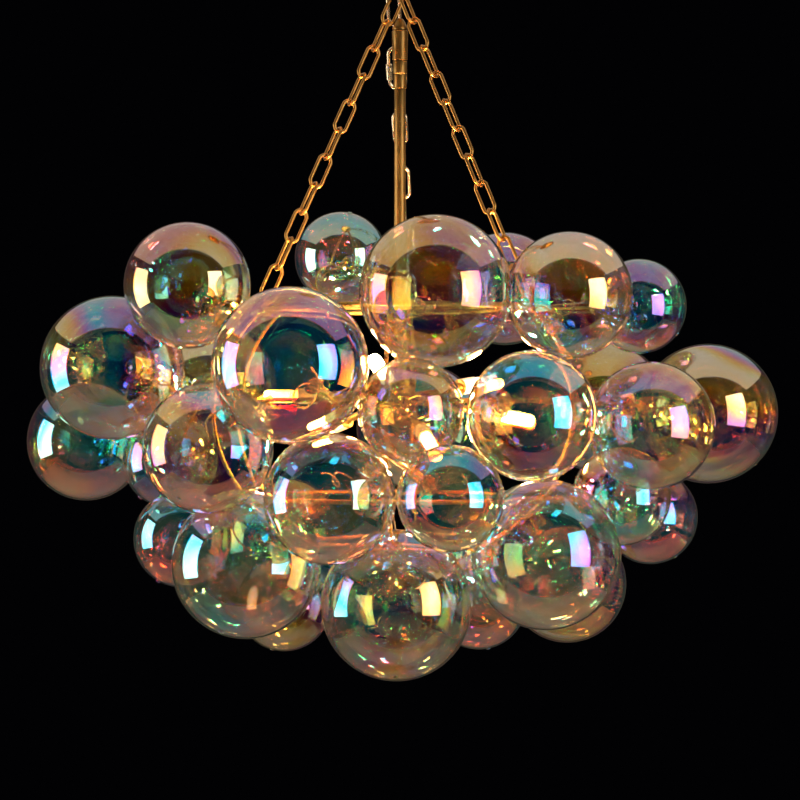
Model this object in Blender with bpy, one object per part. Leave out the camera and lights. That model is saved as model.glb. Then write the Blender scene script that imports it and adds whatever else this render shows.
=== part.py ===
"""Bubble chandelier: blown glass globes gathered round a wire cage that hangs from three chains.

Metres, +Z up. The origin is the point of the ceiling over the stem, level with the feet of the
ceiling strap. -Y is the front of the light and +X is its right side.
"""
import math

import bmesh
import bpy
from mathutils import Matrix, Vector

for old in list(bpy.data.objects):
    bpy.data.objects.remove(old, do_unlink=True)

# Fits
TOUCH_GAP = 0.0003
GLASS_GAP = 0.0005
FUSE_DEPTH = 0.0005
CUT_OVERRUN = 0.002
SLIDING_FIT = 0.0003

# Ceiling strap, joggled so that its middle stands clear of the ceiling
STRAP_LENGTH = 0.104
STRAP_WIDTH = 0.020
STRAP_THICKNESS = 0.002
STRAP_DROP = 0.010
STRAP_FOOT = 0.024
STRAP_SLOPE_RUN = 0.008
STRAP_SLOT_LENGTH = 0.012
STRAP_SLOT_WIDTH = 0.0045

# Canopy cover
CANOPY_RADIUS = 0.060
CANOPY_DEPTH = 0.026
CANOPY_WALL = 0.0012
CANOPY_EDGE_RADIUS = 0.010
CANOPY_DISH = 0.003

# Canopy hook: flange, shank, collar and open hook in one piece
HOOK_SHANK_RADIUS = 0.0030
HOOK_FLANGE_RADIUS = 0.0065
HOOK_FLANGE_THICKNESS = 0.0025
HOOK_COLLAR_RADIUS = 0.0080
HOOK_COLLAR_HEIGHT = 0.0060
HOOK_WIRE_RADIUS = 0.0024
HOOK_BEND_RADIUS = 0.0085
HOOK_NECK = 0.0040
HOOK_START_ANGLE = math.radians(58.0)
HOOK_END_ANGLE = math.radians(-212.0)

# Apex ring, in which the hook and the three chains meet
RING_WIRE_RADIUS = 0.0022
RING_BEND_RADIUS = 0.0180
RING_TURN = math.radians(-49.0)
RING_LEFT_PLACE = math.radians(-14.0)
RING_RIGHT_PLACE = math.radians(14.0)
RING_REAR_PLACE = math.radians(-37.0)
RING_HOLD_GAP = 0.0006

# Chains
CHAIN_DROP = 0.323
CHAIN_WIRE_RADIUS = 0.0018
CHAIN_LINK_WIDTH = 0.0172
CHAIN_LINKS = 11
REAR_CHAIN_UPPER_LINKS = 2
REAR_CHAIN_LOWER_LINKS = 8
CHAIN_BITE = 0.0005
LEFT_CHAIN_AZIMUTH = math.radians(-63.8)
CHAIN_PITCH_ANGLE = math.radians(120.0)
REAR_LINK_TWIST = math.radians(-31.0)

# Quick link in the rear chain, closed by a sleeve on its left side
QUICK_WIRE_RADIUS = 0.0019
QUICK_LENGTH = 0.0490
QUICK_WIDTH = 0.0205
QUICK_GAP = 0.0070
QUICK_GAP_BELOW_MIDDLE = 0.0065
QUICK_SLEEVE_LENGTH = 0.0170
QUICK_SLEEVE_BELOW_MIDDLE = 0.0040
QUICK_SLEEVE_RADIUS = 0.0034
QUICK_SLEEVE_RIM_SHARE = 0.86

# Eyes on the cage, one for each chain
EYE_WIRE_RADIUS = 0.0017
EYE_BEND_RADIUS = 0.0062

# Wire cage, an oblate frame of rings and ribs
CAGE_RADIUS = 0.210
CAGE_HALF_HEIGHT = 0.159
CAGE_WIRE_RADIUS = 0.0025
CAGE_RIB_RADIUS = 0.0021
CAGE_RIBS = 6
CAGE_RING_HEIGHT_SHARES = (0.66, 0.06, -0.57, -0.88)
CAGE_BOSS_RADIUS = 0.0130
CAGE_BOSS_HEIGHT = 0.0100

# Studs on the cage, one for each globe: wire, seat and the spigot that enters the globe's neck
STUD_WIRE_RADIUS = 0.0016
STUD_SEAT_RADIUS = 0.0068
STUD_SEAT_THICKNESS = 0.0016
STUD_SPIGOT_RADIUS = 0.0038
STUD_SPIGOT_LENGTH = 0.0050
STUD_CLEAR = 0.0012

# Glass globes
GLOBE_LARGE_RADIUS = 0.0735
GLOBE_MEDIUM_RADIUS = 0.0630
GLOBE_SMALL_RADIUS = 0.0500
GLOBE_RADII = {"large": GLOBE_LARGE_RADIUS, "medium": GLOBE_MEDIUM_RADIUS,
               "small": GLOBE_SMALL_RADIUS}
GLOBE_WALL = 0.0014
GLOBE_NECK_RADIUS = 0.0060
GLOBE_REACH = 0.380
GLOBE_CENTRE_DEPTH = 0.115

# Stem
STEM_TUBE_RADIUS = 0.0060
STEM_BORE_RADIUS = 0.0042
STEM_CAP_RADIUS = 0.0078
STEM_CAP_TOP_RADIUS = 0.0032
STEM_CAP_RIM_HEIGHT = 0.0022
STEM_CAP_HEIGHT = 0.0115
STEM_CAP_TOP_DROP = 0.0216
STEM_COUPLER_TOP_RADIUS = 0.0085
STEM_COUPLER_FOOT_RADIUS = 0.0076
STEM_COUPLER_LENGTH = 0.0320
STEM_COLLAR_RADIUS = 0.0073
STEM_COLLAR_NECK_RADIUS = 0.0066
STEM_COLLAR_LENGTH = 0.0290
STEM_COLLAR_STEP = 0.0130
STEM_COLLAR_GROOVE = 0.0010
STEM_SPIGOT_LENGTH = 0.0060
STEM_CABLE_RADIUS = 0.0026

# Lamp spider, sockets and capsule lamps
HUB_DEPTH = 0.092
HUB_RADIUS = 0.0170
HUB_HEIGHT = 0.0640
HUB_SOCKET_DEPTH = 0.0120
HUB_TAPER_SHARE = 0.55
ARM_RADIUS = 0.0038
ARM_REACH = 0.086
ARM_FLANGE_RADIUS = 0.0085
ARM_FLANGE_THICKNESS = 0.0022
SOCKET_RADIUS = 0.0085
SOCKET_LENGTH = 0.0200
SOCKET_RECESS_RADIUS = 0.0066
SOCKET_RECESS_DEPTH = 0.0110
SOCKET_CHAMFER_SHARE = 0.14
LAMP_FOOT_RADIUS = 0.0058
LAMP_FOOT_LENGTH = 0.0140
LAMP_GLASS_RADIUS = 0.0068
LAMP_GLASS_LENGTH = 0.0330
LAMP_DOME_SHARE = 0.6
LAMP_AIR = 0.0080

# Facets
WIRE_SIDES = 5
CHAIN_SIDES = 6
TURNED_SIDES = 10
SMALL_TURNED_SIDES = 6
CANOPY_SIDES = 16
GLOBE_SIDES = {"large": 9, "medium": 8, "small": 8}
GLOBE_BANDS = {"large": 5, "medium": 4, "small": 4}
LINK_END_STEPS = 4
CAGE_RING_STEPS = 7
CAGE_RIB_STEPS = 6
HOOK_STEPS = 11
RING_STEPS = 24
EYE_STEPS = 8
CANOPY_EDGE_STEPS = 2
QUICK_END_STEPS = 6
EDGE_ANGLE = math.radians(50.0)

# How closely globes are tested against what they must clear
TESTS_PER_LINK_WIDTH = 3
TESTS_PER_LAMP = 11

# In every table azimuth 0 faces the front and 90 the right side, in degrees
LAMP_TABLE = (
    # azimuth, height of the lamp's middle as a share of the cage's half height
    (-136.0, -0.15), (-88.0, 0.08), (-11.0, 0.29), (16.0, -0.25), (84.0, -0.06), (131.0, 0.18),
)
GLOBE_TABLE = (
    # size, azimuth, elevation above the cluster's middle, share of the reach; each globe stops at
    # this reach or where it meets a globe above it in the table
    ("large", 8, 27, 0.72), ("small", 2, 2, 0.75), ("medium", -38, -5, 0.79),
    ("small", -92, -10, 0.64), ("small", 104, -66, 0.55), ("small", -77, -28, 0.68),
    ("large", 37, -29, 0.71), ("medium", 46, 28, 0.69), ("large", -42, -32, 0.70),
    ("small", 70, -18, 0.66), ("large", 97, 1, 0.86), ("medium", 55, -1, 0.79),
    ("large", -18, 9, 0.88), ("small", 99, 25, 0.74), ("large", -78, 10, 0.80),
    ("small", 8, -12, 0.90), ("medium", -102, -4, 0.90), ("small", -152, 52, 0.58),
    ("medium", 27, 1, 0.73), ("medium", -14, -15, 0.75), ("medium", 114, -42, 0.69),
    ("medium", -57, 28, 0.75), ("small", 101, -21, 0.76), ("large", -1, -41, 0.66),
    ("large", -176, -56, 0.64), ("small", -112, -56, 0.62), ("large", 176, -2, 0.88),
    ("large", -140, 6, 0.88), ("large", 136, 2, 0.86), ("medium", 152, 30, 0.76),
    ("large", -150, -27, 0.80), ("large", 156, -30, 0.82),
)

# Heights worked out from the sizes, all below the ceiling
HOOK_COLLAR_TOP = -(CANOPY_DEPTH + CANOPY_DISH + TOUCH_GAP)
HOOK_MIDDLE = HOOK_COLLAR_TOP - HOOK_COLLAR_HEIGHT - HOOK_NECK - HOOK_BEND_RADIUS
HOOK_SEAT = HOOK_MIDDLE - HOOK_BEND_RADIUS
RING_TOP = HOOK_SEAT + HOOK_WIRE_RADIUS + RING_WIRE_RADIUS + TOUCH_GAP
RING_MIDDLE = RING_TOP - RING_BEND_RADIUS
APEX = RING_MIDDLE - RING_BEND_RADIUS
CAGE_TOP = APEX - CHAIN_DROP
CAGE_MIDDLE = CAGE_TOP - CAGE_HALF_HEIGHT * CAGE_RING_HEIGHT_SHARES[0]
CLUSTER_MIDDLE = CAGE_TOP - GLOBE_CENTRE_DEPTH
STEM_CAP_TOP = APEX - STEM_CAP_TOP_DROP
COUPLER_TOP = STEM_CAP_TOP - STEM_CAP_HEIGHT - TOUCH_GAP
COLLAR_TOP = COUPLER_TOP - STEM_COUPLER_LENGTH - TOUCH_GAP
TUBE_TOP = COLLAR_TOP - STEM_COLLAR_LENGTH - TOUCH_GAP
HUB_MIDDLE = CAGE_TOP - HUB_DEPTH
HUB_TOP = HUB_MIDDLE + HUB_HEIGHT / 2


def around(azimuth, radius, height=0.0):
    """A place at a radius from the stem's axis."""
    return Vector((radius * math.sin(azimuth), -radius * math.cos(azimuth), height))


def upright(azimuth, elevation):
    """A unit direction from its azimuth and its elevation."""
    level = around(azimuth, math.cos(elevation))
    return Vector((level.x, level.y, math.sin(elevation)))


def material(name, colour, roughness, metallic, transmission=0.0):
    made = bpy.data.materials.new(name)
    made.use_nodes = True
    shader = made.node_tree.nodes["Principled BSDF"]
    shader.inputs["Base Color"].default_value = (*colour, 1.0)
    shader.inputs["Roughness"].default_value = roughness
    shader.inputs["Metallic"].default_value = metallic
    shader.inputs["Transmission Weight"].default_value = transmission
    return made


GILT = material("polished_gilt_brass", (0.80, 0.58, 0.27), 0.18, 1.0)
SATIN = material("satin_brass", (0.52, 0.38, 0.17), 0.36, 1.0)
CAGE_FINISH = material("gilt_wire", (0.62, 0.42, 0.18), 0.30, 1.0)
STEEL = material("zinc_plated_steel", (0.55, 0.56, 0.58), 0.40, 1.0)
CERAMIC = material("lamp_ceramic", (0.86, 0.84, 0.79), 0.45, 0.0)
LAMP_GLASS = material("frosted_lamp_glass", (1.0, 0.86, 0.62), 0.30, 0.0)
GLOBE_GLASS = material("rainbow_film_glass", (0.86, 0.88, 0.92), 0.02, 0.0, 1.0)


def finish(name, mesh_data, look):
    """Turn built faces into an object, shaded smooth up to its real edges."""
    bmesh.ops.recalc_face_normals(mesh_data, faces=mesh_data.faces)
    mesh = bpy.data.meshes.new(name)
    mesh_data.to_mesh(mesh)
    mesh_data.free()
    mesh.shade_smooth()
    mesh.set_sharp_from_angle(angle=EDGE_ANGLE)
    made = bpy.data.objects.new(name, mesh)
    if look:
        mesh.materials.append(look)
    bpy.context.scene.collection.objects.link(made)
    return made


def guide(made):
    """Keep an object only as an operand of a Boolean."""
    made.hide_render = True
    made.display_type = "WIRE"
    return made


def combine(body, operands, operation):
    """Join or cut the body with all the operands at once."""
    group = bpy.data.collections.new(body.name + "_" + operation.lower())
    for operand in operands:
        group.objects.link(guide(operand))
    step = body.modifiers.new(operation.capitalize(), "BOOLEAN")
    step.operation = operation
    step.operand_type = "COLLECTION"
    step.collection = group
    step.solver = "EXACT"
    return body


def turned(name, outline, sides, look, place=None, axis=None):
    """Revolve an outline of (radius, height) points round an axis; it closes on the axis where a
    radius is zero, and otherwise runs round to its first point."""
    mesh_data = bmesh.new()
    rows = []
    for radius, height in outline:
        if radius == 0:
            rows.append([mesh_data.verts.new((0, 0, height))])
            continue
        turns = [2 * math.pi * step / sides for step in range(sides)]
        rows.append([mesh_data.verts.new((radius * math.cos(t), radius * math.sin(t), height))
                     for t in turns])
    closed = outline[0][0] > 0
    pairs = list(zip(rows, rows[1:]))
    if closed:
        pairs.append((rows[-1], rows[0]))
    for low, high in pairs:
        for step in range(sides):
            corners = [low[step % len(low)], low[(step + 1) % len(low)],
                       high[(step + 1) % len(high)], high[step % len(high)]]
            mesh_data.faces.new(list(dict.fromkeys(corners)))
    turn = Vector(axis or (0, 0, 1)).to_track_quat("Z", "Y").to_matrix().to_4x4()
    bmesh.ops.transform(mesh_data, matrix=turn, verts=mesh_data.verts)
    made = finish(name, mesh_data, look)
    made.location = place or (0, 0, 0)
    return made


def wire(name, route, radius, normal, look, closed=False, sides=WIRE_SIDES, place=None):
    """Sweep a round wire along a flat route; normal stands square to the route's plane."""
    mesh_data = bmesh.new()
    count = len(route)
    rows = []
    for index, point in enumerate(route):
        before = route[index - 1] if closed or index else point
        after = route[(index + 1) % count] if closed or index < count - 1 else point
        run = (after - before).normalized()
        inward = normal.cross(run).normalized()
        ahead = (after - point).normalized() if after != point else run
        mitre = radius / run.dot(ahead)
        turns = [2 * math.pi * step / sides for step in range(sides)]
        rows.append([mesh_data.verts.new(point + inward * (mitre * math.cos(t))
                                         + normal * (radius * math.sin(t))) for t in turns])
    pairs = list(zip(rows, rows[1:]))
    if closed:
        pairs.append((rows[-1], rows[0]))
    else:
        mesh_data.faces.new(rows[0])
        mesh_data.faces.new(rows[-1])
    for here, there in pairs:
        for step in range(sides):
            beside = (step + 1) % sides
            mesh_data.faces.new((here[step], here[beside], there[beside], there[step]))
    made = finish(name, mesh_data, look)
    made.location = place or (0, 0, 0)
    return made


def extruded(name, outline, depth, look, place=None):
    """Extrude a flat outline of (x, z) points to both sides of the Y plane."""
    mesh_data = bmesh.new()
    front = [mesh_data.verts.new((x, -depth / 2, z)) for x, z in outline]
    face = mesh_data.faces.new(front)
    pushed = bmesh.ops.extrude_face_region(mesh_data, geom=[face])
    moved = [item for item in pushed["geom"] if isinstance(item, bmesh.types.BMVert)]
    bmesh.ops.translate(mesh_data, vec=(0, depth, 0), verts=moved)
    made = finish(name, mesh_data, look)
    made.location = place or (0, 0, 0)
    return made


def arc(middle, radius, first, last, steps):
    """Points of (across, up) on an arc, both ends included."""
    angles = [first + (last - first) * step / steps for step in range(steps + 1)]
    return [(middle[0] + radius * math.cos(a), middle[1] + radius * math.sin(a)) for a in angles]


def ceiling_strap():
    half = STRAP_LENGTH / 2
    foot = half - STRAP_FOOT
    knee = foot - STRAP_SLOPE_RUN
    top = [(-half, 0), (-foot, 0), (-knee, -STRAP_DROP), (knee, -STRAP_DROP), (foot, 0), (half, 0)]
    under = [(x, z - STRAP_THICKNESS) for x, z in reversed(top)]
    strap = extruded("ceiling_strap", top + under, STRAP_WIDTH, STEEL)
    tall = STRAP_THICKNESS + CUT_OVERRUN
    bore = turned("strap_bore", cylinder_outline(HOOK_SHANK_RADIUS + SLIDING_FIT, tall),
                  TURNED_SIDES, None, (0, 0, -STRAP_DROP - STRAP_THICKNESS / 2))
    slots = []
    for side in (-1, 1):
        middle = side * (half - STRAP_FOOT / 2)
        straight = (STRAP_SLOT_LENGTH - STRAP_SLOT_WIDTH) / 2
        mesh_data = bmesh.new()
        rim = arc((straight, 0), STRAP_SLOT_WIDTH / 2, -math.pi / 2, math.pi / 2, LINK_END_STEPS)
        rim += arc((-straight, 0), STRAP_SLOT_WIDTH / 2, math.pi / 2, 3 * math.pi / 2,
                   LINK_END_STEPS)
        face = mesh_data.faces.new([mesh_data.verts.new((x, y, -tall / 2)) for x, y in rim])
        pushed = bmesh.ops.extrude_face_region(mesh_data, geom=[face])
        moved = [item for item in pushed["geom"] if isinstance(item, bmesh.types.BMVert)]
        bmesh.ops.translate(mesh_data, vec=(0, 0, tall), verts=moved)
        slot = finish("strap_slot", mesh_data, None)
        slot.location = (middle, 0, -STRAP_THICKNESS / 2)
        slots.append(slot)
    return combine(strap, [bore] + slots, "DIFFERENCE")


def cylinder_outline(radius, height):
    return [(0, -height / 2), (radius, -height / 2), (radius, height / 2), (0, height / 2)]


def canopy_cover():
    """A shallow dished cup, open towards the ceiling, with a bore for the hook's shank."""
    bend = CANOPY_EDGE_RADIUS
    flat = CANOPY_RADIUS - bend
    floor = -CANOPY_DEPTH
    outer = [(CANOPY_RADIUS, 0)]
    outer += arc((flat, floor + bend), bend, 0, -math.pi / 2, CANOPY_EDGE_STEPS)
    bore = HOOK_SHANK_RADIUS + SLIDING_FIT
    outer.append((bore, floor - CANOPY_DISH))
    inner_bend = bend - CANOPY_WALL
    inner = [(bore, floor - CANOPY_DISH + CANOPY_WALL)]
    inner += arc((flat, floor + bend), inner_bend, -math.pi / 2, 0, CANOPY_EDGE_STEPS)
    inner.append((CANOPY_RADIUS - CANOPY_WALL, 0))
    return turned("canopy_cover", outer + inner, CANOPY_SIDES, SATIN)


def canopy_hook():
    """Flange on the strap, shank through the canopy, collar under it and an open hook."""
    seat = -STRAP_DROP + TOUCH_GAP
    collar_foot = HOOK_COLLAR_TOP - HOOK_COLLAR_HEIGHT
    outline = [(0, seat + HOOK_FLANGE_THICKNESS),
               (HOOK_FLANGE_RADIUS, seat + HOOK_FLANGE_THICKNESS), (HOOK_FLANGE_RADIUS, seat),
               (HOOK_SHANK_RADIUS, seat), (HOOK_SHANK_RADIUS, HOOK_COLLAR_TOP),
               (HOOK_COLLAR_RADIUS, HOOK_COLLAR_TOP),
               (HOOK_COLLAR_RADIUS, HOOK_COLLAR_TOP - HOOK_COLLAR_HEIGHT / 2),
               (HOOK_SHANK_RADIUS, collar_foot), (0, collar_foot)]
    shank = turned("canopy_hook", outline, TURNED_SIDES, GILT)
    across = around(RING_TURN + math.pi / 2, 1.0).normalized()
    along = Vector((0, 0, 1)).cross(across)
    bend = arc((0, HOOK_MIDDLE), HOOK_BEND_RADIUS, HOOK_START_ANGLE, HOOK_END_ANGLE,
               HOOK_STEPS)
    route = [Vector((0, 0, collar_foot + FUSE_DEPTH))]
    route += [along * a + Vector((0, 0, z)) for a, z in bend]
    hook = wire("hook_bend", route, HOOK_WIRE_RADIUS, across, None, sides=CHAIN_SIDES)
    return combine(shank, [hook], "UNION")


def ring_frame():
    """The apex ring's level direction and the direction square to its plane."""
    level = Vector((math.cos(RING_TURN), math.sin(RING_TURN), 0))
    return level, Vector((0, 0, 1)).cross(level)


def apex_ring():
    level, square = ring_frame()
    below_hook = RING_MIDDLE - HOOK_SEAT
    route = [level * a + Vector((0, 0, b))
             for a, b in arc((0, below_hook), RING_BEND_RADIUS, 0, 2 * math.pi, RING_STEPS)[:-1]]
    return wire("apex_ring", route, RING_WIRE_RADIUS, square, GILT, closed=True,
                sides=CHAIN_SIDES, place=(0, 0, HOOK_SEAT))


def link_route(run, square, length, width):
    """The closed centre line of a long link: run is its long way, square stands off its plane."""
    across = square.cross(run)
    half = width / 2
    corner = half * math.tan(math.pi / 8)
    end = length / 2
    shoulder = end - half + corner
    top = [(half, shoulder), (corner, end), (-corner, end), (-half, shoulder)]
    flat = top + [(-a, -b) for a, b in top]
    return [across * a + run * b for a, b in flat]


def chain(name, top, run, length, squares, look=GILT):
    """Interlocked links that touch where they hang in each other; length is one link's, between
    its end wires, and top is the middle of the first wire."""
    links = []
    step = length - 2 * CHAIN_WIRE_RADIUS + CHAIN_BITE
    width = CHAIN_LINK_WIDTH - 2 * CHAIN_WIRE_RADIUS
    for index, square in enumerate(squares):
        middle = top + run * (length / 2 + step * index)
        route = link_route(run, square, length, width)
        links.append(wire(name + "_link", route, CHAIN_WIRE_RADIUS, square, None, closed=True,
                          sides=CHAIN_SIDES, place=middle))
    links[0].name = name
    links[0].data.materials.append(look)
    return combine(links[0], links[1:], "UNION")


def chain_places():
    """For each chain its start on the apex ring, its end in the cage's eye and its direction."""
    level, square = ring_frame()
    cage_radius, cage_height = cage_profile(CAGE_RING_HEIGHT_SHARES[0])
    places = {}
    spreads = {"left": RING_LEFT_PLACE, "right": RING_RIGHT_PLACE, "rear": RING_REAR_PLACE}
    for turn, (side, spread) in enumerate(spreads.items()):
        azimuth = LEFT_CHAIN_AZIMUTH + CHAIN_PITCH_ANGLE * turn
        start = level * (RING_BEND_RADIUS * math.sin(spread))
        start.z = RING_MIDDLE - RING_BEND_RADIUS * math.cos(spread)
        foot = around(azimuth, cage_radius, cage_height)
        run = (foot - start).normalized()
        eye_middle = foot - run * (EYE_BEND_RADIUS + CAGE_WIRE_RADIUS)
        end = eye_middle - run * EYE_BEND_RADIUS
        places[side] = (azimuth, start, end, run, eye_middle)
    return places


def chain_squares(azimuth, run, count, first_is_level):
    """Links turn a quarter each; level links have their plane square to the cage's ring."""
    level = Vector((math.cos(azimuth), math.sin(azimuth), 0))
    level = (level - run * level.dot(run)).normalized()
    upright_way = run.cross(level)
    order = (level, upright_way) if first_is_level else (upright_way, level)
    return [order[index % 2] for index in range(count)]


def chains_and_quick_link():
    places = chain_places()
    hold_top = RING_WIRE_RADIUS + CHAIN_WIRE_RADIUS + RING_HOLD_GAP
    hold_foot = EYE_WIRE_RADIUS + CHAIN_WIRE_RADIUS + TOUCH_GAP
    bite = 2 * CHAIN_WIRE_RADIUS - CHAIN_BITE
    for side, first_is_level in (("left", True), ("right", False)):
        azimuth, start, end, run, eye = places[side]
        span = (end - start).length + hold_top + hold_foot
        length = (span + (CHAIN_LINKS - 1) * bite) / CHAIN_LINKS
        squares = chain_squares(azimuth, run, CHAIN_LINKS, first_is_level)
        chain("chain_" + side, start - run * hold_top, run, length, squares)
    azimuth, start, end, run, eye = places["rear"]
    span = (end - start).length + hold_top + hold_foot
    upper, lower = REAR_CHAIN_UPPER_LINKS, REAR_CHAIN_LOWER_LINKS
    quick_span = QUICK_LENGTH - 2 * QUICK_WIRE_RADIUS
    hold_quick = QUICK_WIRE_RADIUS + CHAIN_WIRE_RADIUS + TOUCH_GAP
    length = (span + (upper + lower - 2) * bite + 2 * hold_quick - quick_span) / (upper + lower)
    squares = chain_squares(azimuth, run, upper, upper % 2 == 1)
    squares[0] = Matrix.Rotation(REAR_LINK_TWIST, 3, run) @ squares[0]
    chain("chain_rear_upper", start - run * hold_top, run, length, squares)
    upper_end = -hold_top + upper * length - (upper - 1) * bite
    quick_top = start + run * (upper_end - hold_quick)
    level, upright_way = chain_squares(azimuth, run, 2, True)
    quick_link(quick_top + run * (quick_span / 2), run, upright_way)
    lower_top = quick_top + run * (quick_span - hold_quick)
    squares = chain_squares(azimuth, run, lower, True)
    chain("chain_rear_lower", lower_top, run, length, squares)


def quick_link(middle, run, square):
    """An oval link with a gap in its left side, which the sleeve closes."""
    length = QUICK_LENGTH - 2 * QUICK_WIRE_RADIUS
    width = QUICK_WIDTH - 2 * QUICK_WIRE_RADIUS
    across = square.cross(run)
    if across.x > 0:
        across = -across
    bend = width / 2
    straight = length / 2 - bend
    flat = [(bend, QUICK_GAP_BELOW_MIDDLE + QUICK_GAP / 2)]
    flat += arc((0, straight), bend, 0, math.pi, QUICK_END_STEPS)
    flat += arc((0, -straight), bend, math.pi, 2 * math.pi, QUICK_END_STEPS)
    flat.append((bend, QUICK_GAP_BELOW_MIDDLE - QUICK_GAP / 2))
    route = [across * a + run * b for a, b in flat]
    wire("quick_link", route, QUICK_WIRE_RADIUS, square, GILT, place=middle, sides=CHAIN_SIDES)
    bore = QUICK_WIRE_RADIUS + SLIDING_FIT
    rim = QUICK_SLEEVE_RADIUS * QUICK_SLEEVE_RIM_SHARE
    half = QUICK_SLEEVE_LENGTH / 2
    chamfer = QUICK_SLEEVE_RADIUS - rim
    outline = [(bore, -half), (rim, -half), (QUICK_SLEEVE_RADIUS, -half + chamfer),
               (QUICK_SLEEVE_RADIUS, half - chamfer), (rim, half), (bore, half)]
    place = middle + across * bend + run * QUICK_SLEEVE_BELOW_MIDDLE
    turned("quick_link_sleeve", outline, TURNED_SIDES, GILT, place, run)


def cage_profile(share):
    """Radius and height of the cage at a height share from -1 to 1."""
    return CAGE_RADIUS * math.sqrt(1 - share * share), CAGE_MIDDLE + CAGE_HALF_HEIGHT * share


def cage_routes():
    """Centre lines of the cage's rings, from the top down, and of its ribs."""
    rings = []
    for share in CAGE_RING_HEIGHT_SHARES:
        radius, height = cage_profile(share)
        steps = CAGE_RING_STEPS + int(2 * CAGE_RING_STEPS * radius / CAGE_RADIUS)
        turns = [LEFT_CHAIN_AZIMUTH + 2 * math.pi * (step + 0.5) / steps for step in range(steps)]
        rings.append([around(turn, radius, height) for turn in turns])
    ribs = []
    top, foot = CAGE_RING_HEIGHT_SHARES[0], CAGE_RING_HEIGHT_SHARES[-1]
    for rib in range(CAGE_RIBS):
        azimuth = LEFT_CHAIN_AZIMUTH + 2 * math.pi * rib / CAGE_RIBS
        route = []
        for step in range(CAGE_RIB_STEPS + 1):
            radius, height = cage_profile(top + (foot - top) * step / CAGE_RIB_STEPS)
            route.append(around(azimuth, radius, height))
        ribs.append(route)
    return rings, ribs


def cage_points():
    """Places close together along the middle of every ring and rib."""
    rings, ribs = cage_routes()
    points = []
    for route in rings + ribs:
        ahead = route[1:] + route[:1] if route in rings else route[1:]
        for here, there in zip(route, ahead):
            steps = max(1, round((there - here).length / STUD_SEAT_RADIUS))
            points += [here.lerp(there, (step + 0.5) / steps) for step in range(steps)]
    return points


def lamp_axes():
    """Each lamp arm's start in the hub and its direction."""
    start = Vector((0, 0, HUB_MIDDLE))
    lamp_middle = ARM_REACH + SOCKET_LENGTH + LAMP_GLASS_LENGTH / 2
    axes = []
    for azimuth, share in LAMP_TABLE:
        place = around(math.radians(azimuth), lamp_middle, CAGE_MIDDLE + share * CAGE_HALF_HEIGHT)
        axes.append((start, (place - start).normalized()))
    return axes


def outer_stop(origin, way, size, balls):
    """How far out along a ray a globe stops, coming from outside, against balls of glass or wire."""
    stop = 0.0
    for middle, radius in balls:
        offset = middle - origin
        near = offset.dot(way)
        reach = radius + size
        room = reach * reach - (offset.length_squared - near * near)
        if room > 0:
            stop = max(stop, near + math.sqrt(room))
    return stop


def globe_places():
    """Set each globe on its ray from the cluster's middle, clear of all that is there before it."""
    stand_off = STUD_SEAT_THICKNESS + 2 * TOUCH_GAP + CAGE_WIRE_RADIUS + FUSE_DEPTH
    balls = [(point, stand_off) for point in cage_points()]
    for azimuth, start, end, run, eye in chain_places().values():
        steps = int((end - start).length / CHAIN_LINK_WIDTH * TESTS_PER_LINK_WIDTH)
        reach = CHAIN_LINK_WIDTH / 2 + GLASS_GAP
        balls += [(start.lerp(end, step / steps), reach) for step in range(steps + 1)]
    for start, way in lamp_axes():
        for step in range(TESTS_PER_LAMP + 1):
            share = step / TESTS_PER_LAMP
            along = ARM_REACH + (SOCKET_LENGTH + LAMP_GLASS_LENGTH) * share
            balls.append((start + way * along, SOCKET_RADIUS + LAMP_AIR))
    origin = Vector((0, 0, CLUSTER_MIDDLE))
    places = []
    for size, azimuth, elevation, reach_share in GLOBE_TABLE:
        radius = GLOBE_RADII[size]
        way = upright(math.radians(azimuth), math.radians(elevation))
        reach = max(reach_share * GLOBE_REACH, outer_stop(origin, way, radius + GLASS_GAP, balls))
        middle = origin + way * reach
        places.append((size, radius, middle))
        balls.append((middle, radius))
    return places


def distance_to_run(point, start, end):
    run = end - start
    share = max(0.0, min(1.0, (point - start).dot(run) / run.length_squared))
    return (point - start - run * share).length


def stud_foot(index, places, points):
    """The nearest cage point from which a straight stud reaches the globe past its neighbours."""
    size, radius, middle = places[index]
    others = [place for number, place in enumerate(places) if number != index]
    for foot in sorted(points, key=lambda point: (point - middle).length):
        neck = middle + (foot - middle).normalized() * radius
        stud_clear = all(distance_to_run(other[2], neck, foot)
                         > other[1] + STUD_WIRE_RADIUS + STUD_CLEAR for other in others)
        seat_clear = all((other[2] - neck).length > other[1] + STUD_SEAT_RADIUS + TOUCH_GAP
                         for other in others)
        if stud_clear and seat_clear:
            return foot
    raise ValueError("no clear way from the cage to globe %d" % index)


def neck_height(radius):
    """Height of the neck's outer rim over the globe's middle."""
    return math.sqrt(radius * radius - GLOBE_NECK_RADIUS * GLOBE_NECK_RADIUS)


def stud(foot, middle, radius):
    """A wire from the cage with a round seat and a spigot for the globe's neck."""
    way = (middle - foot).normalized()
    length = (middle - foot).length
    seat_top = length - neck_height(radius) - TOUCH_GAP
    seat_foot = seat_top - STUD_SEAT_THICKNESS
    tip = seat_top + STUD_SPIGOT_LENGTH
    outline = [(0, 0), (STUD_WIRE_RADIUS, 0), (STUD_WIRE_RADIUS, seat_foot),
               (STUD_SEAT_RADIUS, seat_foot), (STUD_SEAT_RADIUS, seat_top),
               (STUD_SPIGOT_RADIUS, seat_top), (0, tip)]
    return turned("stud", outline, WIRE_SIDES, None, foot, way)


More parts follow.
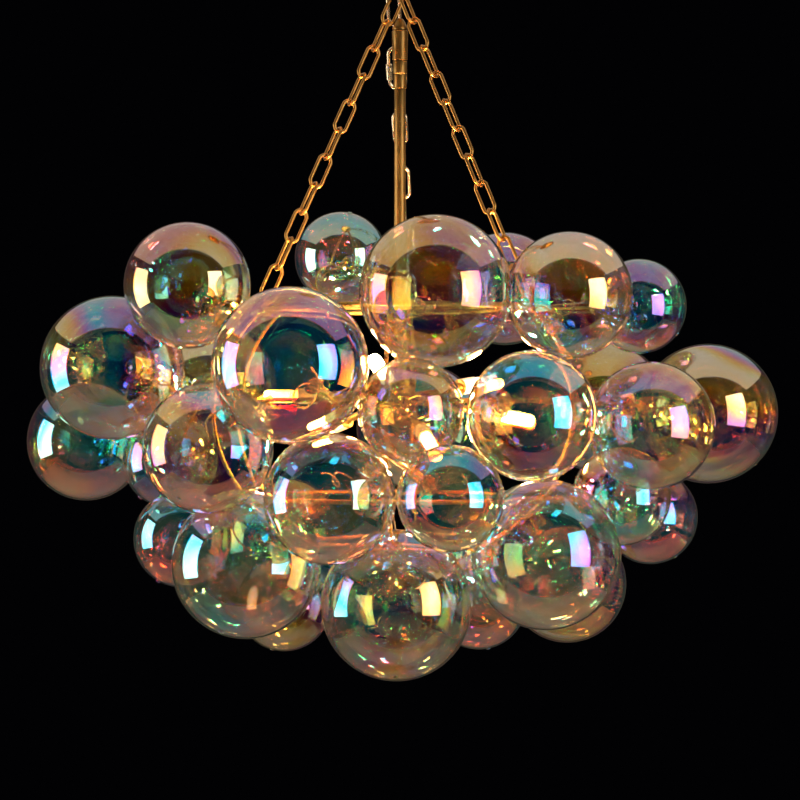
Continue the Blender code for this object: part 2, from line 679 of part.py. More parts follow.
def frame_cage(places):
    """Rings, ribs, spokes with their boss, chain eyes and studs, welded into one frame."""
    rings, ribs = cage_routes()
    pieces = [wire("cage_ring", route, CAGE_WIRE_RADIUS, Vector((0, 0, 1)), None, closed=True)
              for route in rings]
    for route in ribs:
        square = Vector((0, 0, 1)).cross(route[0]).normalized()
        pieces.append(wire("cage_rib", route, CAGE_RIB_RADIUS, square, None))
    top_radius, top_height = cage_profile(CAGE_RING_HEIGHT_SHARES[0])
    bore = STEM_TUBE_RADIUS + SLIDING_FIT
    half = CAGE_BOSS_HEIGHT / 2
    boss_outline = [(bore, -half), (CAGE_BOSS_RADIUS, -half), (CAGE_BOSS_RADIUS, half),
                    (bore, half)]
    pieces.append(turned("cage_boss", boss_outline, TURNED_SIDES, None, (0, 0, top_height)))
    spoke_start = (bore + CAGE_BOSS_RADIUS) / 2
    for azimuth, start, end, run, eye_middle in chain_places().values():
        route = [around(azimuth, radius, top_height) for radius in (spoke_start, top_radius)]
        pieces.append(wire("cage_spoke", route, CAGE_RIB_RADIUS, Vector((0, 0, 1)), None))
    ends_level = {"left": (CHAIN_LINKS - 1) % 2 == 0, "right": (CHAIN_LINKS - 1) % 2 == 1,
                  "rear": (REAR_CHAIN_LOWER_LINKS - 1) % 2 == 0}
    for side, (azimuth, start, end, run, eye_middle) in chain_places().items():
        level, upright_way = chain_squares(azimuth, run, 2, True)
        eye_square = upright_way if ends_level[side] else level
        across = eye_square.cross(run)
        route = [across * a + run * b
                 for a, b in arc((0, 0), EYE_BEND_RADIUS, 0, 2 * math.pi, EYE_STEPS)[:-1]]
        pieces.append(wire("cage_eye", route, EYE_WIRE_RADIUS, eye_square, None, closed=True,
                           place=eye_middle))
    points = cage_points()
    for index, (size, radius, middle) in enumerate(places):
        foot = stud_foot(index, places, points)
        pieces.append(stud(foot, middle, radius))
        globe(index, size, radius, middle, foot)
    pieces[0].name = "frame_cage"
    pieces[0].data.materials.append(CAGE_FINISH)
    return combine(pieces[0], pieces[1:], "UNION")


def globe(index, size, radius, middle, foot):
    """A thin blown shell with a round neck opening that faces its stud."""
    number = sum(1 for row in GLOBE_TABLE[:index + 1] if row[0] == size)
    inner = radius - GLOBE_WALL
    first = math.asin(GLOBE_NECK_RADIUS / radius)
    first_inner = math.asin(GLOBE_NECK_RADIUS / inner)
    count = GLOBE_BANDS[size]
    outside = [first + (math.pi - first) * band / count for band in range(count)]
    inside = [first_inner + (math.pi - first_inner) * band / count for band in range(count)]
    outline = [(0, -radius)]
    outline += [(radius * math.sin(a), radius * math.cos(a)) for a in reversed(outside)]
    outline += [(inner * math.sin(a), inner * math.cos(a)) for a in inside]
    outline.append((0, -inner))
    turned("globe_%s_%02d" % (size, number), outline, GLOBE_SIDES[size], GLOBE_GLASS, middle,
           foot - middle)


def stem():
    """Cap, coupler, collar and tube, turned pieces that plug into each other."""
    cable = STEM_CABLE_RADIUS
    spigot = STEM_BORE_RADIUS - SLIDING_FIT
    cap = [(cable, -STEM_SPIGOT_LENGTH), (spigot, -STEM_SPIGOT_LENGTH), (spigot, 0),
           (STEM_CAP_RADIUS, 0), (STEM_CAP_RADIUS, STEM_CAP_RIM_HEIGHT),
           (STEM_CAP_TOP_RADIUS, STEM_CAP_HEIGHT), (cable, STEM_CAP_HEIGHT)]
    turned("stem_cap", cap, TURNED_SIDES, SATIN, (0, 0, STEM_CAP_TOP - STEM_CAP_HEIGHT))
    bevel = STEM_COUPLER_TOP_RADIUS - STEM_COUPLER_FOOT_RADIUS
    coupler = [(STEM_BORE_RADIUS, -STEM_COUPLER_LENGTH),
               (STEM_COUPLER_FOOT_RADIUS, -STEM_COUPLER_LENGTH),
               (STEM_COUPLER_TOP_RADIUS, -bevel), (STEM_COUPLER_TOP_RADIUS - bevel / 2, 0),
               (STEM_BORE_RADIUS, 0)]
    turned("stem_coupler", coupler, TURNED_SIDES, SATIN, (0, 0, COUPLER_TOP))
    neck = STEM_COLLAR_NECK_RADIUS
    step = -STEM_COLLAR_STEP
    foot = -STEM_COLLAR_LENGTH
    groove = STEM_COLLAR_GROOVE
    collar = [(cable, foot - STEM_SPIGOT_LENGTH), (spigot, foot - STEM_SPIGOT_LENGTH),
              (spigot, foot), (neck, foot), (neck, step - groove),
              (neck - groove / 2, step - groove / 2), (STEM_COLLAR_RADIUS, step),
              (STEM_COLLAR_RADIUS, 0), (spigot, 0), (spigot, STEM_SPIGOT_LENGTH),
              (cable, STEM_SPIGOT_LENGTH)]
    turned("stem_collar", collar, TURNED_SIDES, SATIN, (0, 0, COLLAR_TOP))
    tube_foot = HUB_TOP - HUB_SOCKET_DEPTH + TOUCH_GAP
    tube = [(STEM_BORE_RADIUS, tube_foot), (STEM_TUBE_RADIUS, tube_foot),
            (STEM_TUBE_RADIUS, TUBE_TOP), (STEM_BORE_RADIUS, TUBE_TOP)]
    turned("stem_tube", tube, TURNED_SIDES, SATIN)


def lamp_spider():
    """Hub with a socket for the stem tube and six arms, each with a flange for a lamp holder."""
    bore = STEM_TUBE_RADIUS + SLIDING_FIT
    foot = HUB_TOP - HUB_HEIGHT
    socket_floor = HUB_TOP - HUB_SOCKET_DEPTH
    taper = HUB_RADIUS * HUB_TAPER_SHARE
    outline = [(0, foot), (taper, foot), (HUB_RADIUS, foot + taper),
               (HUB_RADIUS, HUB_TOP - taper), (taper, HUB_TOP), (bore, HUB_TOP),
               (bore, socket_floor), (0, socket_floor)]
    hub = turned("lamp_spider", outline, TURNED_SIDES, CAGE_FINISH)
    arms = []
    for start, way in lamp_axes():
        flange_foot = ARM_REACH - ARM_FLANGE_THICKNESS
        arm = [(0, HUB_RADIUS / 2), (ARM_RADIUS, HUB_RADIUS / 2), (ARM_RADIUS, flange_foot),
               (ARM_FLANGE_RADIUS, flange_foot), (ARM_FLANGE_RADIUS, ARM_REACH), (0, ARM_REACH)]
        arms.append(turned("spider_arm", arm, SMALL_TURNED_SIDES, None, start, way))
    return combine(hub, arms, "UNION")


def lamps():
    """A ceramic holder on each arm and a capsule lamp pushed into it."""
    for number, (start, way) in enumerate(lamp_axes(), start=1):
        foot = start + way * (ARM_REACH + TOUCH_GAP)
        chamfer = SOCKET_RADIUS * SOCKET_CHAMFER_SHARE
        mouth = SOCKET_LENGTH - SOCKET_RECESS_DEPTH
        holder = [(0, 0), (SOCKET_RADIUS, 0), (SOCKET_RADIUS, SOCKET_LENGTH - chamfer),
                  (SOCKET_RADIUS - chamfer, SOCKET_LENGTH), (SOCKET_RECESS_RADIUS, SOCKET_LENGTH),
                  (SOCKET_RECESS_RADIUS, mouth), (0, mouth)]
        turned("lamp_holder_%d" % number, holder, SMALL_TURNED_SIDES, CERAMIC, foot, way)
        glass_foot = LAMP_FOOT_LENGTH
        glass_top = glass_foot + LAMP_GLASS_LENGTH
        dome = LAMP_GLASS_RADIUS * LAMP_DOME_SHARE
        capsule = [(0, 0), (LAMP_FOOT_RADIUS, 0), (LAMP_FOOT_RADIUS, glass_foot),
                   (LAMP_GLASS_RADIUS, glass_foot + dome), (LAMP_GLASS_RADIUS, glass_top - dome),
                   (0, glass_top)]
        base = foot + way * (mouth + TOUCH_GAP)
        turned("capsule_lamp_%d" % number, capsule, SMALL_TURNED_SIDES, LAMP_GLASS, base, way)


def hang(names_above):
    """Parent all that swings with the chains to an empty on their swing axis."""
    pivot = bpy.data.objects.new("cluster_pivot", None)
    pivot.location = (0, 0, APEX)
    bpy.context.scene.collection.objects.link(pivot)
    for made in list(bpy.context.scene.collection.objects):
        if made != pivot and made.name not in names_above:
            made.parent = pivot
            made.matrix_parent_inverse = Matrix.Translation(pivot.location).inverted()


def build():
    ceiling_strap()
    canopy_cover()
    canopy_hook()
    apex_ring()
    names_above = {made.name for made in bpy.data.objects}
    chains_and_quick_link()
    frame_cage(globe_places())
    stem()
    lamp_spider()
    lamps()
    hang(names_above)


build()
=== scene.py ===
"""Bubble chandelier: blown glass globes with a rainbow film round a gilt wire cage, lit inside.

Metres, +Z up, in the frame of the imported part. -Y is the front of the light.
"""
import math

import bpy
import numpy as np
from mathutils import Matrix, Vector


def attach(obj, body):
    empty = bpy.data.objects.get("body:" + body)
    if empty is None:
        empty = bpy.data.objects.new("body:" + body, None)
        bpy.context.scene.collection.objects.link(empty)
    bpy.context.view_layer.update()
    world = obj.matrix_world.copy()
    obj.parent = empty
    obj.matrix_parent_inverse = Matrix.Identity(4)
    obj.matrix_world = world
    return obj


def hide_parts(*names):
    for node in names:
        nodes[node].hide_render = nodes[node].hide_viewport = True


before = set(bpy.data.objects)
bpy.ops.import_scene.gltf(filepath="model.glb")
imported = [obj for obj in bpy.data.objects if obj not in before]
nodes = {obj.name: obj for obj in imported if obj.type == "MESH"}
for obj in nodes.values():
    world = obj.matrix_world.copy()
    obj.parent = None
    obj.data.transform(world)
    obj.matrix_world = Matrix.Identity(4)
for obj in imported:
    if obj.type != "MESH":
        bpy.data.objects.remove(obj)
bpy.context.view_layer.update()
scene = bpy.context.scene

# Camera: level with the middle of the photograph
CAMERA_LEVEL = -0.5054
CAMERA_PLACE = (0.0, -3.0, CAMERA_LEVEL)
CAMERA_LENS = 129.8

# Heights on the light, as the solids have them
RING_MIDDLE = -0.0694
CAGE_TOP = -0.4104
CAGE_MIDDLE = -0.51534
HUB_MIDDLE = -0.5024
CLUSTER_MIDDLE = Vector((0, 0, -0.5254))

MM = 0.001
# A place within this of a level lies on it
NEAR = 1e-5


# ---------------------------------------------------------------- camera and studio

def hex_colour(text):
    """sRGB hex to a linear colour."""
    parts = [int(text[step:step + 2], 16) / 255 for step in (1, 3, 5)]
    return tuple(p / 12.92 if p <= 0.04045 else ((p + 0.055) / 1.055) ** 2.4 for p in parts) + (1,)


def add_node(tree, kind, inputs=None, **settings):
    """A shader node with its settings; an input takes a value or the socket that feeds it."""
    made = tree.nodes.new("ShaderNode" + kind)
    for key, value in settings.items():
        setattr(made, key, value)
    for key, value in (inputs or {}).items():
        if isinstance(value, bpy.types.NodeSocket):
            tree.links.new(value, made.inputs[key])
        else:
            made.inputs[key].default_value = value
    return made


def photograph_camera():
    data = bpy.data.cameras.new("photograph_camera")
    data.lens = CAMERA_LENS
    data.sensor_width = 36
    data.clip_end = 50
    camera = bpy.data.objects.new("photograph_camera", data)
    camera.location = CAMERA_PLACE
    camera.rotation_euler = (math.radians(90), 0, 0)
    scene.collection.objects.link(camera)
    scene.camera = camera


# How bright a light is to an eye that meets it straight through glass
THROUGH_GLASS_SHARE = 0.08
# A honeycomb grid's share in the beam's gain, fitted to Blender's spread
GRID_SHARE = 0.81


def soft_light(name, place, aim, width, height, radiance, colour, spread=180):
    """A rectangular softbox; its power follows from how bright its face looks. A honeycomb grid
    narrows its spread, in degrees, and so its face looks brighter from the front."""
    data = bpy.data.lights.new(name, "AREA")
    data.shape = "RECTANGLE"
    data.size = width
    data.size_y = height
    data.spread = math.radians(spread)
    half = math.radians(spread / 2)
    focus = 1.0 if spread == 180 else GRID_SHARE / (1 - half / math.tan(half))
    data.energy = radiance * math.pi * width * height / focus
    data.color = hex_colour(colour)[:3]
    made = bpy.data.objects.new(name, data)
    made.location = place
    made.rotation_euler = (Vector(aim) - Vector(place)).to_track_quat("-Z", "Y").to_euler()
    made.visible_camera = False
    scene.collection.objects.link(made)
    # Straight through the globes, with no mirror between, the eye meets the dark backdrop
    # and hardly the light
    data.use_nodes = True
    tree = data.node_tree
    tree.nodes.clear()
    path = add_node(tree, "LightPath")
    no_mirror = add_node(tree, "Math", {0: path.outputs["Glossy Depth"], 1: 0.5},
                         operation="LESS_THAN")
    in_glass = add_node(tree, "Math", {0: path.outputs["Transmission Depth"], 1: 0.5},
                        operation="GREATER_THAN")
    through = add_node(tree, "Math", {0: in_glass.outputs[0], 1: no_mirror.outputs[0]},
                       operation="MULTIPLY")
    strength = add_node(tree, "MapRange", {0: through.outputs[0], 3: 1.0, 4: THROUGH_GLASS_SHARE})
    glow = add_node(tree, "Emission", {"Strength": strength.outputs[0]})
    add_node(tree, "OutputLight", {"Surface": glow.outputs[0]})
    return made


def studio():
    """Two upright softboxes with grids and a wide soft light overhead, in a dark room."""
    middle = (0, 0, CAMERA_LEVEL)
    soft_light("softbox_left", (-1.60, -0.08, -0.47), middle, 0.86, 1.15, 3.8, "#FFF6EA", 110)
    soft_light("softbox_right", (1.38, -1.16, -0.36), middle, 0.94, 1.40, 3.4, "#FFF8F0", 110)
    overhead = soft_light("soft_light_overhead", (0, 1.35, 1.0), (0, 1.35, 0), 5.4, 4.2, 0.52,
                          "#FFF1E4")
    # Its long side runs along X
    overhead.rotation_euler = (0, 0, 0)
    world = bpy.data.worlds.new("dark_studio")
    world.use_nodes = True
    tree = world.node_tree
    tree.nodes.clear()
    path = add_node(tree, "LightPath")
    seen = add_node(tree, "Math", {0: path.outputs["Is Camera Ray"],
                                   1: path.outputs["Is Transmission Ray"]},
                    operation="MAXIMUM")
    # The room behind the camera is dim and warm; the backdrop is black velvet
    room = add_node(tree, "Background", {"Color": hex_colour("#D8C3A8"), "Strength": 0.12})
    dark = add_node(tree, "Background", {"Color": hex_colour("#020203"), "Strength": 1.0})
    both = add_node(tree, "MixShader", {0: seen.outputs[0], 1: room.outputs[0],
                                        2: dark.outputs[0]})
    add_node(tree, "OutputWorld", {"Surface": both.outputs[0]})
    scene.world = world


photograph_camera()
studio()
scene.view_settings.view_transform = "Standard"
# Light passes many walls of glass before it leaves the cluster
scene.cycles.max_bounces = 28
scene.cycles.transmission_bounces = 28
scene.cycles.glossy_bounces = 8
scene.cycles.transparent_max_bounces = 48
scene.cycles.use_denoising = True


# ---------------------------------------------------------------- materials

def new_material(name):
    made = bpy.data.materials.new(name)
    made.use_nodes = True
    made.node_tree.nodes.clear()
    return made, made.node_tree


def output(tree, shader):
    add_node(tree, "OutputMaterial", {"Surface": shader.outputs[0]})


def noise(tree, place, grain_mm, detail):
    """Noise with grains of about grain_mm."""
    return add_node(tree, "TexNoise", {"Vector": place, "Scale": 1 / (grain_mm * MM),
                                       "Detail": detail}).outputs[0]


def blend(tree, share, first, second):
    """A colour that goes from one hex colour to another."""
    return add_node(tree, "Mix", {0: share, 6: hex_colour(first),
                                  7: hex_colour(second)}, data_type="RGBA").outputs[2]


def bump(tree, height, strength, depth_mm):
    return add_node(tree, "Bump", {"Strength": strength, "Distance": depth_mm * MM,
                                   "Height": height}).outputs[0]


def metal(name, pale, deep, smooth, rough, mottle_mm, grain_mm, grain_stretch, depth_mm):
    """A metal whose colour and shine drift over mottle_mm, with drawing marks grain_mm apart."""
    made, tree = new_material(name)
    place = add_node(tree, "TexCoord").outputs["Object"]
    mottle = noise(tree, place, mottle_mm, 3.0)
    run = add_node(tree, "Mapping", {"Vector": place, "Scale": grain_stretch})
    grain = noise(tree, run.outputs[0], grain_mm, 2.0)
    worn = add_node(tree, "Math", {0: mottle, 1: grain}, operation="MULTIPLY")
    shine = add_node(tree, "MapRange", {0: worn.outputs[0], 1: 0.1, 2: 0.42, 3: smooth, 4: rough})
    output(tree, add_node(tree, "BsdfPrincipled",
                          {"Base Color": blend(tree, mottle, deep, pale), "Metallic": 1.0,
                           "Roughness": shine.outputs[0],
                           "Normal": bump(tree, grain, 0.35, depth_mm)}))
    return made


def waves(tree, place, wave_mm, strength, depth_mm):
    """Slow waves wave_mm apart, as a blown or drawn surface has them."""
    return bump(tree, noise(tree, place, wave_mm, 1.0), strength, depth_mm)


def output_glass(tree, glass, shade):
    """Light passes straight through the glass and only takes on its shade."""
    clear = add_node(tree, "BsdfTransparent", {"Color": hex_colour(shade)})
    path = add_node(tree, "LightPath")
    output(tree, add_node(tree, "MixShader",
                          {0: path.outputs["Is Shadow Ray"], 1: glass.outputs[0],
                           2: clear.outputs[0]}))


# The film's pattern: where it starts, how wide it drifts, and its thickness in nanometres where
# it is thinnest and thickest. On top of a globe it is thinner than halfway up.
FILM_START = (0.83, 0.07, 0.61)
FILM_DRIFT_MM = 150
FILM_THIN_NM, FILM_THICK_NM = 80.0, 158.0
FILM_THINNER_ON_TOP_NM = 10.0


def film_glass():
    """Blown soda glass with a vapour coated metal oxide film, about a tenth of a micrometre thick.
    Where it is thinnest it mirrors pale gold, then magenta, violet, blue and teal as it grows."""
    made, tree = new_material("rainbow_film_glass")
    where = add_node(tree, "TexCoord")
    place = where.outputs["Object"]
    start = add_node(tree, "Mapping", {"Vector": place, "Location": FILM_START})
    drift = add_node(tree, "TexNoise",
                     {"Vector": start.outputs[0], "Scale": 1 / (FILM_DRIFT_MM * MM),
                      "Detail": 0.5, "Distortion": 0.9})
    thickness = add_node(tree, "MapRange", {0: drift.outputs[0], 1: 0.30, 2: 0.70,
                                            3: FILM_THIN_NM, 4: FILM_THICK_NM})
    upward = add_node(tree, "SeparateXYZ", {0: where.outputs["Normal"]})
    thickness = add_node(tree, "Math",
                         {0: upward.outputs[2], 1: -FILM_THINNER_ON_TOP_NM,
                          2: thickness.outputs[0]}, operation="MULTIPLY_ADD")
    glass = add_node(tree, "BsdfPrincipled",
                     {"Base Color": hex_colour("#F8ECE0"), "Roughness": 0.0, "IOR": 1.20,
                      "Transmission Weight": 1.0, "Thin Film Thickness": thickness.outputs[0],
                      "Thin Film IOR": 2.6, "Normal": waves(tree, place, 24, 0.10, 0.5)})
    output_glass(tree, glass, "#F4F2F0")
    return made


def clear_glass(name, colour, ior, roughness, wave_mm, glow="#000000", glow_strength=0.0):
    """Glass or clear plastic without a film."""
    made, tree = new_material(name)
    place = add_node(tree, "TexCoord").outputs["Object"]
    glass = add_node(tree, "BsdfPrincipled",
                     {"Base Color": hex_colour(colour), "Roughness": roughness, "IOR": ior,
                      "Transmission Weight": 1.0, "Normal": waves(tree, place, wave_mm, 0.12, 0.4),
                      "Emission Color": hex_colour(glow), "Emission Strength": glow_strength})
    output_glass(tree, glass, "#FAF8F5")
    return made


def ceramic():
    """Steatite lamp holder, pressed and fired without glaze: dull, cream, with fine specks."""
    made, tree = new_material("lamp_ceramic")
    place = add_node(tree, "TexCoord").outputs["Object"]
    speck = noise(tree, place, 0.8, 3.0)
    output(tree, add_node(tree, "BsdfPrincipled",
                          {"Base Color": blend(tree, speck, "#D9D0BE", "#F1EBDF"),
                           "Roughness": 0.6, "Normal": bump(tree, speck, 0.3, 0.05)}))
    return made


def lit_lamp(name, colour, strength):
    """The glowing coil of a lit lamp: warm white, paler in patches."""
    made, tree = new_material(name)
    place = add_node(tree, "TexCoord").outputs["Object"]
    patch = noise(tree, place, 1.5, 2.0)
    shine = add_node(tree, "MapRange", {0: patch, 3: 0.3, 4: 0.5})
    output(tree, add_node(tree, "BsdfPrincipled",
                          {"Base Color": hex_colour("#FFF0DA"), "Roughness": shine.outputs[0],
                           "Emission Color": blend(tree, patch, colour, "#FFE9C8"),
                           "Emission Strength": strength}))
    return made


def pale_floor():
    """Painted studio floor, matt and a little cloudy."""
    made, tree = new_material("pale_floor")
    place = add_node(tree, "TexCoord").outputs["Object"]
    cloud = add_node(tree, "TexNoise", {"Vector": place, "Scale": 3.0, "Detail": 2.0})
    output(tree, add_node(tree, "BsdfPrincipled",
                          {"Base Color": blend(tree, cloud.outputs[0], "#D2CEC8", "#DEDBD6"),
                           "Roughness": 0.8}))
    return made


# Drawn brass wire, gilt and polished: warm, with soft long highlights
GILT = metal("polished_gilt_brass", "#D0A25C", "#AC7838", 0.30, 0.40, 7, 4.0, (1, 1, 1), 0.004)
# The rear chain and the quick link: the same polished gilt brass, but with a paler, nearly white
# base colour, a painted highlight for the strong light that they catch
PAINTED_HIGHLIGHT_GILT = metal("painted_highlight_gilt_brass", "#FFF1D6", "#EACF9F", 0.10, 0.18, 7, 4.0, (1, 1, 1),
                    0.003)
# Turned brass, satin brushed along its length and lacquered: a broad soft highlight
SATIN = metal("satin_brass", "#A68851", "#876634", 0.32, 0.46, 30, 0.7, (1, 1, 0.06), 0.02)
# Brazed brass wire, dipped in gilt lacquer: less even, half glossy
CAGE_GILT = metal("gilt_wire", "#E8BC6A", "#C18A3A", 0.20, 0.38, 18, 1.2, (1, 1, 1), 0.05)
# Pressed steel, zinc plated and passivated: grey, cloudy
ZINC = metal("zinc_plated_steel", "#C6C9CC", "#9FA3A8", 0.30, 0.48, 6, 1.0, (1, 1, 1), 0.03)
# The globes, inside and outside alike
FILM_GLASS = film_glass()
# Extruded clear PVC cord, flexible, a little cloudy, so that it catches the lamps' light
CLEAR_CORD = clear_glass("clear_pvc_cord", "#FFE2BC", 1.53, 0.12, 5)
# Fired steatite, unglazed
CERAMIC = ceramic()
# Quartz capsule of a lit lamp: clear, and bright all over with the coil's light
LAMP_GLASS = clear_glass("quartz_lamp_glass", "#FFF6E8", 1.46, 0.02, 6, "#FFB468", 420.0)
# The lamp's coil, alight
LAMP_CORE = lit_lamp("lit_lamp_coil", "#FFC47C", 2800.0)


# ---------------------------------------------------------------- modelling helpers

def deselect():
    for item in list(bpy.context.selected_objects):
        item.select_set(False)


def activate(made):
    deselect()
    bpy.context.view_layer.objects.active = made
    made.select_set(True)


def enter_edit(made, kind="VERT"):
    """Edit the piece, with all of it selected."""
    activate(made)
    bpy.ops.object.mode_set(mode="EDIT")
    bpy.ops.mesh.select_mode(type=kind)
    bpy.ops.mesh.select_all(action="SELECT")


def leave_edit():
    bpy.ops.object.mode_set(mode="OBJECT")


def pick(made, test, kind="vertices"):
    """Select the vertices or faces whose place passes a test; the active piece ends in edit
    mode."""
    leave_edit()
    data = made.data
    for group in (data.vertices, data.edges, data.polygons):
        group.foreach_set("select", [False] * len(group))
    for item in getattr(data, kind):
        item.select = bool(test(item.co if kind == "vertices" else item.center))
    bpy.ops.object.mode_set(mode="EDIT")
    bpy.ops.mesh.select_mode(type="VERT" if kind == "vertices" else "FACE")


def apply_modifier(made, kind, **settings):
    activate(made)
    step = made.modifiers.new(kind.capitalize(), kind)
    for key, value in settings.items():
        setattr(step, key, value)
    bpy.ops.object.modifier_apply(modifier=step.name)


# Edges that are sharper than this, in degrees, stay sharp: on turned pieces, and on round wire
TURNED_SHARP, ROUND_SHARP = 35, 60


def smooth(made, angle=ROUND_SHARP):
    activate(made)
    bpy.ops.object.shade_smooth_by_angle(angle=math.radians(angle))


def bake_place(made):
    """Put the piece's place and turn into its mesh."""
    made.data.transform(made.matrix_world)
    made.matrix_world = Matrix.Identity(4)
    return made


def finish(made, look):
    made.data.materials.clear()
    made.data.materials.append(look)


def settle(made, name, look, turn=None, place=None):
    """Put the piece's place and turn into its mesh and give it its finish."""
    if turn is None:
        turn = Matrix.Identity(3)
    made.data.transform(Matrix.Translation(place or (0, 0, 0)) @ turn.to_4x4() @ made.matrix_world)
    made.matrix_world = Matrix.Identity(4)
    made.name = made.data.name = name
    finish(made, look)
    return made


def towards(axis):
    """The turn that takes +Z to an axis."""
    return Vector(axis).to_track_quat("Z", "Y").to_matrix()


def grow_rim(radius, height, stops):
    """Extrude and scale the selected round rim from one (radius, height) stop to the next."""
    for next_radius, next_height in stops:
        bpy.ops.mesh.extrude_edges_move(
            TRANSFORM_OT_translate={"value": (0, 0, next_height - height)})
        share = next_radius / radius
        bpy.ops.transform.resize(value=(share, share, 1), center_override=(0, 0, next_height))
        radius, height = next_radius, next_height


def turned(name, outline, look, sides=40, closed=False, bevel_mm=0.3, turn=None, place=None):
    """A turned piece, grown from its first circle along an outline of (radius, height) points;
    closed runs back to the first circle, as round a bore."""
    deselect()
    radius, height = outline[0]
    bpy.ops.mesh.primitive_circle_add(vertices=sides, radius=radius, location=(0, 0, height))
    made = bake_place(bpy.context.object)
    enter_edit(made)
    grow_rim(radius, height, outline[1:] + ([outline[0]] if closed else []))
    bpy.ops.mesh.select_all(action="SELECT")
    if closed:
        bpy.ops.mesh.remove_doubles(threshold=1e-6)
    else:
        bpy.ops.mesh.fill_holes(sides=0)
    bpy.ops.mesh.normals_make_consistent(inside=False)
    leave_edit()
    if bevel_mm:
        apply_modifier(made, "BEVEL", width=bevel_mm * MM, segments=2, limit_method="ANGLE",
                       angle_limit=math.radians(25), use_clamp_overlap=True)
    smooth(made, TURNED_SHARP)
    return settle(made, name, look, turn, place)


def torus(radius, wire_radius, steps, sides, rotation=(0, 0, 0)):
    """A ring of round wire in the XY plane."""
    deselect()
    bpy.ops.mesh.primitive_torus_add(major_radius=radius, minor_radius=wire_radius,
                                     major_segments=steps, minor_segments=sides,
                                     rotation=rotation)
    return bpy.context.object


def squashed_ball(radius, shares, segments, rings):
    """A small ball, squashed by a share along each axis."""
    deselect()
    bpy.ops.mesh.primitive_uv_sphere_add(segments=segments, ring_count=rings, radius=radius)
    made = bpy.context.object
    enter_edit(made)
    bpy.ops.transform.resize(value=shares, center_override=(0, 0, 0))
    leave_edit()
    return made


def wire(name, points, radius, look, closed=False, sides=3, taper=None):
    """A wire along smooth points; it starts as a path and is filled out round."""
    deselect()
    bpy.ops.curve.primitive_nurbs_path_add()
    made = bpy.context.object
    data = made.data
    data.splines.clear()
    spline = data.splines.new("POLY")
    spline.points.add(len(points) - 1)
    for index, (point, slot) in enumerate(zip(points, spline.points)):
        slot.co = (*point, 1)
        if taper:
            slot.radius = taper(index / (len(points) - 1))
    spline.use_cyclic_u = closed
    data.bevel_depth = radius
    data.bevel_resolution = sides
    data.use_fill_caps = not closed
    bpy.ops.object.convert(target="MESH")
    made = bpy.context.object
    made.matrix_world = Matrix.Identity(4)
    enter_edit(made)
    bpy.ops.mesh.normals_make_consistent(inside=False)
    leave_edit()
    smooth(made)
    return settle(made, name, look)


def copy_of(made, name, matrix):
    """A copy with a mesh of its own, moved and turned by the matrix."""
    twin = made.copy()
    twin.data = made.data.copy()
    twin.name = twin.data.name = name
    scene.collection.objects.link(twin)
    twin.data.transform(matrix)
    return twin


def joined(parts, name):
    """Several meshes as one piece, which keeps the first one's place."""
    deselect()
    for part in parts:
        part.select_set(True)
    bpy.context.view_layer.objects.active = parts[0]
    bpy.ops.object.join()
    made = bpy.context.object
    made.name = made.data.name = name
    return made


def smooth_path(points, steps):
    """Points on a Catmull-Rom line through the given places, with steps points to a stretch."""
    places = [Vector(p) for p in points]
    count = len(places)
    result = []
    for index in range(count - 1):
        b, c = places[index], places[index + 1]
        a = places[index - 1] if index else b * 2 - c
        d = places[index + 2] if index + 2 < count else c * 2 - b
        for step in range(steps):
            t = step / steps
            result.append(0.5 * ((2 * b) + (c - a) * t + (2 * a - 5 * b + 4 * c - d) * t * t
                                 + (3 * b - a - 3 * c + d) * t ** 3))
    result.append(places[-1])
    return result


def hand_in(made, body, slot, *stands_for):
    """Tell the frame which body carries the piece, and hide the nodes it stands for. The slot, its
    material, is not used.
    """
    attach(made, body)
    if stands_for:
        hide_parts(*stands_for)
    return made


# ---------------------------------------------------------------- chains

LINK_WIRE = 0.0018
LINK_BEND = 0.0068
LINK_BITE = 0.0005
# The bends of a link, from and to an angle in degrees, move out by a share
LINK_BEND_SHARES = ((10, 80, 1.035), (55, 80, 1.05))

# The ways that a chain's links face, in turn
LEFT_FACES = ((0.44606, -0.89494, 0.01054), (-0.80757, -0.39738, 0.43580))
RIGHT_FACES = ((0.75071, -0.50256, 0.42879), (0.55516, 0.83174, 0.00288))
REAR_FACES = ((-0.99699, 0.07510, -0.01929), (0.06022, 0.90667, 0.41752))
# Over the quick link the rear chain leaves the ring with a twist
TWISTED_FACES = ((-0.46187, 0.81585, 0.34795), REAR_FACES[0])
REAR_RUN = (0.04885, 0.41510, -0.90846)

# A chain's node, its top, the way it runs, and its links' length, faces, number and metal
CHAINS = (
    ("chain_left", (-0.00108, 0.00422, -0.08273), (-0.38582, -0.20290, -0.89998), 0.03491,
     LEFT_FACES, 11, GILT),
    ("chain_right", (0.00121, -0.00220, -0.08271), (0.35809, -0.23589, -0.90340), 0.03478,
     RIGHT_FACES, 11, GILT),
    ("chain_rear_upper", (-0.00733, 0.00627, -0.07960), REAR_RUN, 0.03406,
     TWISTED_FACES, 2, PAINTED_HIGHLIGHT_GILT),
    ("chain_rear_lower", (-0.00234, 0.04870, -0.17247), REAR_RUN, 0.03406,
     REAR_FACES, 8, PAINTED_HIGHLIGHT_GILT),
)


